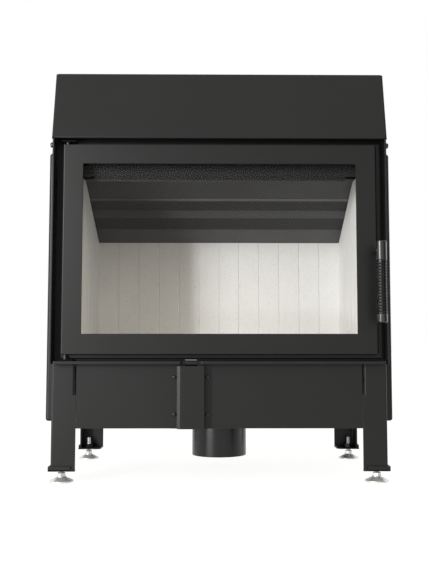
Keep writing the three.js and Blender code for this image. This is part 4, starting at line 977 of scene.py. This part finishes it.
# ---------------------------------------------------------------- apron and air supply
class HEARTH_OT_apron(Operator):
    """Cuts the ledge with its notch, folds the apron's lower edge back, and bends the linkage's cover"""

    bl_idname = "hearth_insert.apron"
    bl_label = "Apron and linkage cover"

    def execute(self, context):
        sizes = context.scene.insert_sizes
        thick, bend = sizes.sheet * MM, sizes.cover_bend * MM
        x0, x1, y0, y1, z0, z1 = limits("apron")
        left, right, start = -71.0, -45.0, 4.0
        below = limits("air_lever")[4] - 1
        outline = filleted(
            [[x0, z0 + start], [x1, z0 + start], [x1, z1], [right, z1], [right, below], [left, below], [left, z1],
             [x0, z1]], [0.02] * 2 + [0.4] * 6, 3, closed=True)
        shell = Shell().extruded(outline, 1, y0, y1)
        fold = filleted([[y0, z0 + start], [y0, z0], [y0 + 14, z0]], 0.9)
        shell.bent(fold, -(y1 - y0), 0, x0, x1)
        put("folded_apron", shell, "Stove paint", "apron", edge=sizes.plate_edge)

        x0, x1, y0, y1, z0, z1 = limits("ledge")
        left, right, deep = -78.0, -38.0, y0 + 13.0
        outline = filleted(
            [[x0, y0], [left, y0], [left, deep], [right, deep], [right, y0], [x1, y0], [x1, y1], [x0, y1]],
            [3.0, 3.2, 1.2, 1.2, 3.2, 3.0, 0.3, 0.3], closed=True)
        put("cut_ledge", Shell().extruded(outline, 2, z0, z1), "Stove paint", "ledge", edge=0.001)

        x0, x1, y0, y1, z0, z1 = limits("air_linkage_cover")
        left, right, foot = x0 + 12, x1 - 12, y1 - thick
        line = filleted([[x0, foot], [left, foot], [left, y0 + 2.2], [left + 6.4, y0], [right - bend * 0.2, y0],
                         [right, y0 + 1.0], [right, foot], [x1, foot]], [1.4, 1.2, 3.0, 1.0, 0.8, 1.4])
        shell = Shell().bent(line, -thick, 2, z0, z1)
        put("bent_linkage_cover", shell, "Stove paint", "air_linkage_cover", edge=sizes.plate_edge)
        return {"FINISHED"}


class HEARTH_OT_lever(Operator):
    """Bends the air lever's tab up from its bar and forward into a lip, and rounds the throttle plate"""

    bl_idname = "hearth_insert.lever"
    bl_label = "Air lever"

    def execute(self, context):
        x0, x1, y0, y1, z0, z1 = limits("air_lever")
        thick, half, middle, plate_front = 2.5, 12.0, (x0 + x1) / 2, 190.0
        web = y0 + 10.0
        line = filleted([[y0, z1 - thick], [web, z1 - thick], [web, z0], [plate_front + 2, z0]], [1.0, 3.4])
        shell = Shell().bent(line, -thick, 0, middle - half, middle + half)
        shell.extruded(rounded_loop(x0, x1, plate_front, y1, 4.0), 2, z0, z0 + thick)
        put("bent_air_lever", shell, "Lever paint", "air_lever", edge=0.0008)
        return {"FINISHED"}


class HEARTH_OT_pipes(Operator):
    """Turns the outside-air spigot and the flue collar with its flange"""

    bl_idname = "hearth_insert.pipes"
    bl_label = "Spigot and collar"

    def execute(self, context):
        thick = context.scene.insert_sizes.sheet * MM
        z0, z1 = limits("air_spigot")[4:]
        centre, radius = upright("air_spigot")
        wall = filleted([[radius, z0], [radius, z1], [radius - thick, z1], [radius - thick, z0]], 0.6, 3,
                        closed=True)
        shell = Shell().turned(wall, centre, around=96, close_rows=True)
        put("rolled_spigot", shell, "Pipe paint", "air_spigot")

        z0, z1 = limits("flue_collar")[4:]
        centre, flange = upright("flue_collar")
        radius = flange - 14
        wall = filleted([[radius - thick, z0], [flange, z0], [flange, z0 + 3], [radius, z0 + 3], [radius, z1],
                         [radius - thick, z1]], [0.4, 0.6, 0.8, 3.4, 0.7, 0.7], 4, closed=True)
        shell = Shell().turned(wall, centre, around=112, close_rows=True)
        put("turned_collar", shell, "Stove paint", "flue_collar")
        return {"FINISHED"}


# ---------------------------------------------------------------- door
def ring(rows):
    """Rounded rectangles (x0, x1, z0, z1, corner radius, y), one for each step round a ring's section."""
    return np.stack([embed(rounded_loop(*row[:5]), 1, row[5]) for row in rows])


def grown(rectangle, by):
    x0, x1, z0, z1 = rectangle
    return x0 - by, x1 + by, z0 - by, z1 + by


class HEARTH_OT_door(Operator):
    """Presses the door: a face with a round outer edge, walls running back, and the rear flange"""

    bl_idname = "hearth_insert.door"
    bl_label = "Door and glass"

    def execute(self, context):
        sizes = context.scene.insert_sizes
        edge, cut = sizes.door_edge * MM, 1.0
        fx0, fx1, y0, y1, fz0, fz1 = limits("door_frame")
        flange = (fx0, fx1, fz0, fz1)
        outer = (fx0 + 0.9, fx1 - 9.4, fz0 + 7.6, fz1 - 5.5)
        gx0, gx1, _, _, gz0, gz1 = limits("door_glass")
        window = grown((gx0, gx1, gz0, gz1), -8)
        opening = (outer[0] + 24, outer[1] - 24, outer[2] + 8.5, outer[3] - 7.5)
        plate, wall, sheet, soft = 4.0, 2.0, 3.0, 0.5
        back = y0 + plate
        rows = [(*window, 0.8, y0 + soft), (*grown(window, 0.15), 0.9, y0 + 0.15),
                (*grown(window, soft), 1.2, y0)]
        for sink in edge * np.array([0, 0.01, 0.035, 0.09, 0.2, 0.36, 0.62, 1.0]):
            across, along = (r - np.sqrt(r * r - (r - min(sink, r)) ** 2) for r in (edge, cut))
            rows.append((outer[0] + across, outer[1] - across, outer[2] + along, outer[3] - along,
                         max(3.4 - across, 0.5), y0 + sink))
        front = y1 - sheet
        rows += [(*outer, 3.4, front - 1.2), (*grown(outer, 0.35), 3.6, front - 0.35),
                 (*grown(outer, 1.2), 3.9, front)]
        rows += [(*grown(flange, -soft), 1.5, front), (*grown(flange, -0.15), 1.9, front + 0.15),
                 (*flange, 2.0, front + soft), (*flange, 2.0, y1 - soft), (*grown(flange, -0.15), 1.9, y1 - 0.15),
                 (*grown(flange, -soft), 1.5, y1)]
        rows += [(*grown(opening, soft), 1.6, y1), (*opening, 1.2, y1 - soft), (*opening, 1.2, front + soft),
                 (*grown(opening, soft), 1.6, front)]
        inner = grown(outer, -wall)
        rows += [(*inner, 1.5, front), (*inner, 1.5, back + 0.8), (*grown(inner, -0.8), 1.2, back),
                 (*grown(window, soft), 1.2, back), (*window, 0.8, back - soft)]
        shell = Shell().grid(ring(rows), close_rows=True, close_columns=True)
        put("pressed_door", shell, "Stove paint", "door_frame", smooth=50)
        keep("door_glass", "Ceramic glass", 0.0006)
        return {"FINISHED"}


class HEARTH_OT_rope(Operator):
    """Lays the door's rope: a flattened round section carried round the door's back and swollen in
    crossing plaits"""

    bl_idname = "hearth_insert.rope"
    bl_label = "Door rope"

    def execute(self, context):
        plait = context.scene.insert_sizes.rope_plait * MM
        x0, x1, y0, y1, z0, z1 = limits("door_gasket")
        half_width, half_depth, corner = 4.0, (y1 - y0) / 2, 9.0
        path = rounded_loop(x0 + half_width, x1 - half_width, z0 + half_width, z1 - half_width, corner, 8)
        path = np.vstack([path, path[:1]])
        run = np.concatenate([[0], np.cumsum(np.linalg.norm(np.diff(path, axis=0), axis=1))])
        plaits = round(run[-1] / plait)
        along = np.linspace(0, run[-1], plaits * 6, endpoint=False)
        line = np.stack([np.interp(along, run, path[:, 0]), np.interp(along, run, path[:, 1])], 1)
        ahead = np.roll(line, -1, 0) - np.roll(line, 1, 0)
        ahead /= np.linalg.norm(ahead, axis=1, keepdims=True)
        outward = np.stack([ahead[:, 1], -ahead[:, 0]], 1)
        angle = np.linspace(0, 2 * np.pi, 14, endpoint=False)
        turns = 2 * np.pi * plaits * along[:, None] / run[-1]
        relief = 0.90 + 0.10 * np.maximum(np.sin(turns + 2 * angle), np.sin(turns - 2 * angle))
        across = half_width * np.cos(angle) * relief
        deep = half_depth * np.sin(angle) * relief
        points = np.stack([line[:, 0, None] + outward[:, 0, None] * across, (y0 + y1) / 2 + deep,
                           line[:, 1, None] + outward[:, 1, None] * across], -1)
        shell = Shell().grid(points, close_rows=True, close_columns=True)
        piece = put("plaited_rope", shell, "Door rope", "door_gasket", smooth=80)
        layer = piece.data.uv_layers.new(name="rope")
        place = np.empty(len(piece.data.vertices) * 3)
        piece.data.vertices.foreach_get("co", place)
        place = place.reshape(-1, 3)
        corner_of = np.empty(len(piece.data.loops), int)
        piece.data.loops.foreach_get("vertex_index", corner_of)
        layer.data.foreach_set("uv", (place[corner_of][:, (0, 2)] * 40).ravel())
        return {"FINISHED"}


class HEARTH_OT_hinges(Operator):
    """Turns the two hinge pins with domed ends"""

    bl_idname = "hearth_insert.hinges"
    bl_label = "Hinge pins"

    def execute(self, context):
        for node, top in (("hinge_pin_top", True), ("hinge_pin_bottom", False)):
            z0, z1 = limits(node)[4:]
            centre, radius = upright(node)
            shape = [[0, z0], [radius, z0], [radius, z1], [0, z1]]
            shell = Shell().turned(filleted(shape, [0.5, 1.4] if top else [0.5, 0.9], 4), centre, around=32)
            put(f"turned_{node}", shell, "Pin steel", node)
        return {"FINISHED"}


# ---------------------------------------------------------------- handle
def perforated(shell, centre, outer, wall, low, high, hole, columns):
    """A sleeve of square cells, each with a round hole: the cell's border is drawn in to a circle, on the
    outside, through the wall and on the inside. Every other column is raised by half a cell."""
    cell = np.radians(360 / columns)
    width = outer * cell
    rows = int(round((high - low - 2.4) / (width * 1.14)))
    tall = (high - low - 2.4) / (rows + 0.5)
    u = np.array([1, 1, 1, 0, -1, -1, -1, -1, -1, 0, 1, 1]) * width / 2
    v = np.array([0, 1, 2, 2, 2, 1, 0, -1, -2, -2, -2, -1]) * tall / 4
    turn = np.arctan2(v, u)
    round_u, round_v = hole / 2 * np.cos(turn), hole / 2 * np.sin(turn)
    lead_u, lead_v = (hole / 2 + 0.25) * np.cos(turn), (hole / 2 + 0.25) * np.sin(turn)
    levels = [(u, v, outer), (lead_u, lead_v, outer), (round_u, round_v, outer - 0.25),
              (round_u, round_v, outer - wall), (u, v, outer - wall)]
    column, row = np.meshgrid(np.arange(columns), np.arange(rows), indexing="ij")
    start = low + 1.2 + tall / 2 + row * tall + np.where(column % 2, tall / 2, 0)
    for c, z in zip(column.ravel(), start.ravel()):
        local = np.stack([np.stack([r * np.cos(c * cell + a / outer), r * np.sin(c * cell + a / outer), b + z], 1)
                          for a, b, r in levels])
        shell.grid(local + np.asarray(centre), close_columns=True)
    steps = columns * 2
    angle = (np.arange(steps) - 1) * cell / 2
    lifted = np.repeat(np.arange(columns) % 2, 2)
    edge_low = low + 1.2 + np.where(lifted, tall / 2, 0)
    edge_high = high - 1.2 - np.where(lifted, 0, tall / 2)
    spread = np.stack([angle, angle + cell / 2])
    for start_z, stop in ((edge_low, low), (edge_high, high)):
        for index in range(steps):
            a = spread[:, index]
            z_in = np.full(2, start_z[index])
            soft = np.sign(stop - start_z[index]) * 0.35
            profile = [(outer, z_in), (outer, np.full(2, stop - soft)), (outer - 0.35, np.full(2, stop)),
                       (outer - wall, np.full(2, stop)), (outer - wall, z_in)]
            local = np.stack([np.stack([r * np.cos(a), r * np.sin(a), z], 1) for r, z in profile])
            shell.grid(local + np.asarray(centre))


class HEARTH_OT_handle(Operator):
    """Turns the handle: a ferrule, a perforated sleeve over the core, an end cap, and the arm's spindle"""

    bl_idname = "hearth_insert.handle"
    bl_label = "Handle"

    def execute(self, context):
        sizes = context.scene.insert_sizes
        axis, radius = upright("handle_ferrule")

        def turn_end(part, name, soft, steps):
            z0, z1 = limits(part)[4:]
            shape = filleted([[0, z0], [radius, z0], [radius, z1], [0, z1]], soft, steps)
            put(name, Shell().turned(shape, axis, around=48), "Handle steel", part)

        turn_end("handle_ferrule", "turned_ferrule", [0.9, 1.8], 5)
        shell = Shell()
        perforated(shell, axis, upright("handle_grip")[1], sizes.grip_wall * MM, *limits("handle_grip")[4:],
                   sizes.grip_hole * MM, sizes.grip_columns)
        put("perforated_grip", shell, "Grip sleeve", "handle_grip", smooth=40)
        turn_end("handle_end_cap", "turned_end_cap", [2.4, 0.9], 6)
        x0, x1, y0, y1, z0, z1 = limits("handle_arm")
        spindle_height = 470.0
        spindle = np.array([x0 + 4.0, 0.0, spindle_height])
        shape = filleted([[0, y0], [4, y0], [4, y1], [0, y1]], [1.2, 0.6], 4)
        shell = Shell().turned(shape, spindle, axis=1, around=32)
        shape = filleted([[0, z0], [4.5, z0], [4.5, z1], [0, z1]], 0.6, 3)
        shell.turned(shape, axis, around=28)
        put("turned_arm", shell, "Handle steel", "handle_arm")
        return {"FINISHED"}


# ---------------------------------------------------------------- screws
class HEARTH_OT_screws(Operator):
    """Turns the domed screws on the cheeks and the bolts of the linkage cover, each with its socket"""

    bl_idname = "hearth_insert.screws"
    bl_label = "Screws and bolts"

    def execute(self, context):
        for side, sign in SIDES:
            node = f"cheek_screw_{side}"
            x0, x1, y0, y1, z0, z1 = limits(node)
            centre = (x0 if sign > 0 else x1, (y0 + y1) / 2, (z0 + z1) / 2)
            shell = Shell().button(centre, 0, sign, (y1 - y0) / 2, 3.2, x1 - x0, 3.9, 2.4)
            put(f"domed_{node}", shell, "Bolt black", node)
        for height in ("lower", "upper"):
            for side, _ in SIDES:
                node = f"cover_bolt_{height}_{side}"
                x0, x1, y0, y1, z0, z1 = limits(node)
                centre = ((x0 + x1) / 2, y1, (z0 + z1) / 2)
                shell = Shell().button(centre, 1, -1, (x1 - x0) / 2, 1.3, y1 - y0, 2.2, 1.3)
                put(f"domed_{node}", shell, "Bolt black", node)
        return {"FINISHED"}


# ---------------------------------------------------------------- panel and order of making
STEPS = (HEARTH_OT_finishes, HEARTH_OT_stage, HEARTH_OT_plates, HEARTH_OT_baffle, HEARTH_OT_hood,
         HEARTH_OT_shields, HEARTH_OT_legs, HEARTH_OT_feet, HEARTH_OT_apron, HEARTH_OT_lever, HEARTH_OT_pipes,
         HEARTH_OT_door, HEARTH_OT_rope, HEARTH_OT_hinges, HEARTH_OT_handle, HEARTH_OT_screws)


class HEARTH_PT_insert(Panel):
    """Lists the steps and settings of the fireplace insert"""

    bl_idname = "HEARTH_PT_insert"
    bl_label = "Fireplace insert"
    bl_space_type = "VIEW_3D"
    bl_region_type = "UI"
    bl_category = "Hearth"

    def draw(self, context):
        scene = context.scene
        for settings in (scene.insert_sizes, scene.insert_finishes, scene.insert_studio):
            column = self.layout.column(align=True)
            for name in settings.__annotations__:
                column.prop(settings, name)
        column = self.layout.column(align=True)
        for step in STEPS:
            column.operator(step.bl_idname)


CLASSES = (InsertSizes, InsertFinishes, InsertStudio, *STEPS, HEARTH_PT_insert)


def register():
    for each in CLASSES:
        bpy.utils.register_class(each)
    bpy.types.Scene.insert_sizes = PointerProperty(type=InsertSizes)
    bpy.types.Scene.insert_finishes = PointerProperty(type=InsertFinishes)
    bpy.types.Scene.insert_studio = PointerProperty(type=InsertStudio)


def unregister():
    del bpy.types.Scene.insert_sizes, bpy.types.Scene.insert_finishes, bpy.types.Scene.insert_studio
    for each in reversed(CLASSES):
        bpy.utils.unregister_class(each)


def main():
    register()
    for step in STEPS:
        family, name = step.bl_idname.split(".")
        getattr(getattr(bpy.ops, family), name)()


if __name__ == "__main__":
    main()
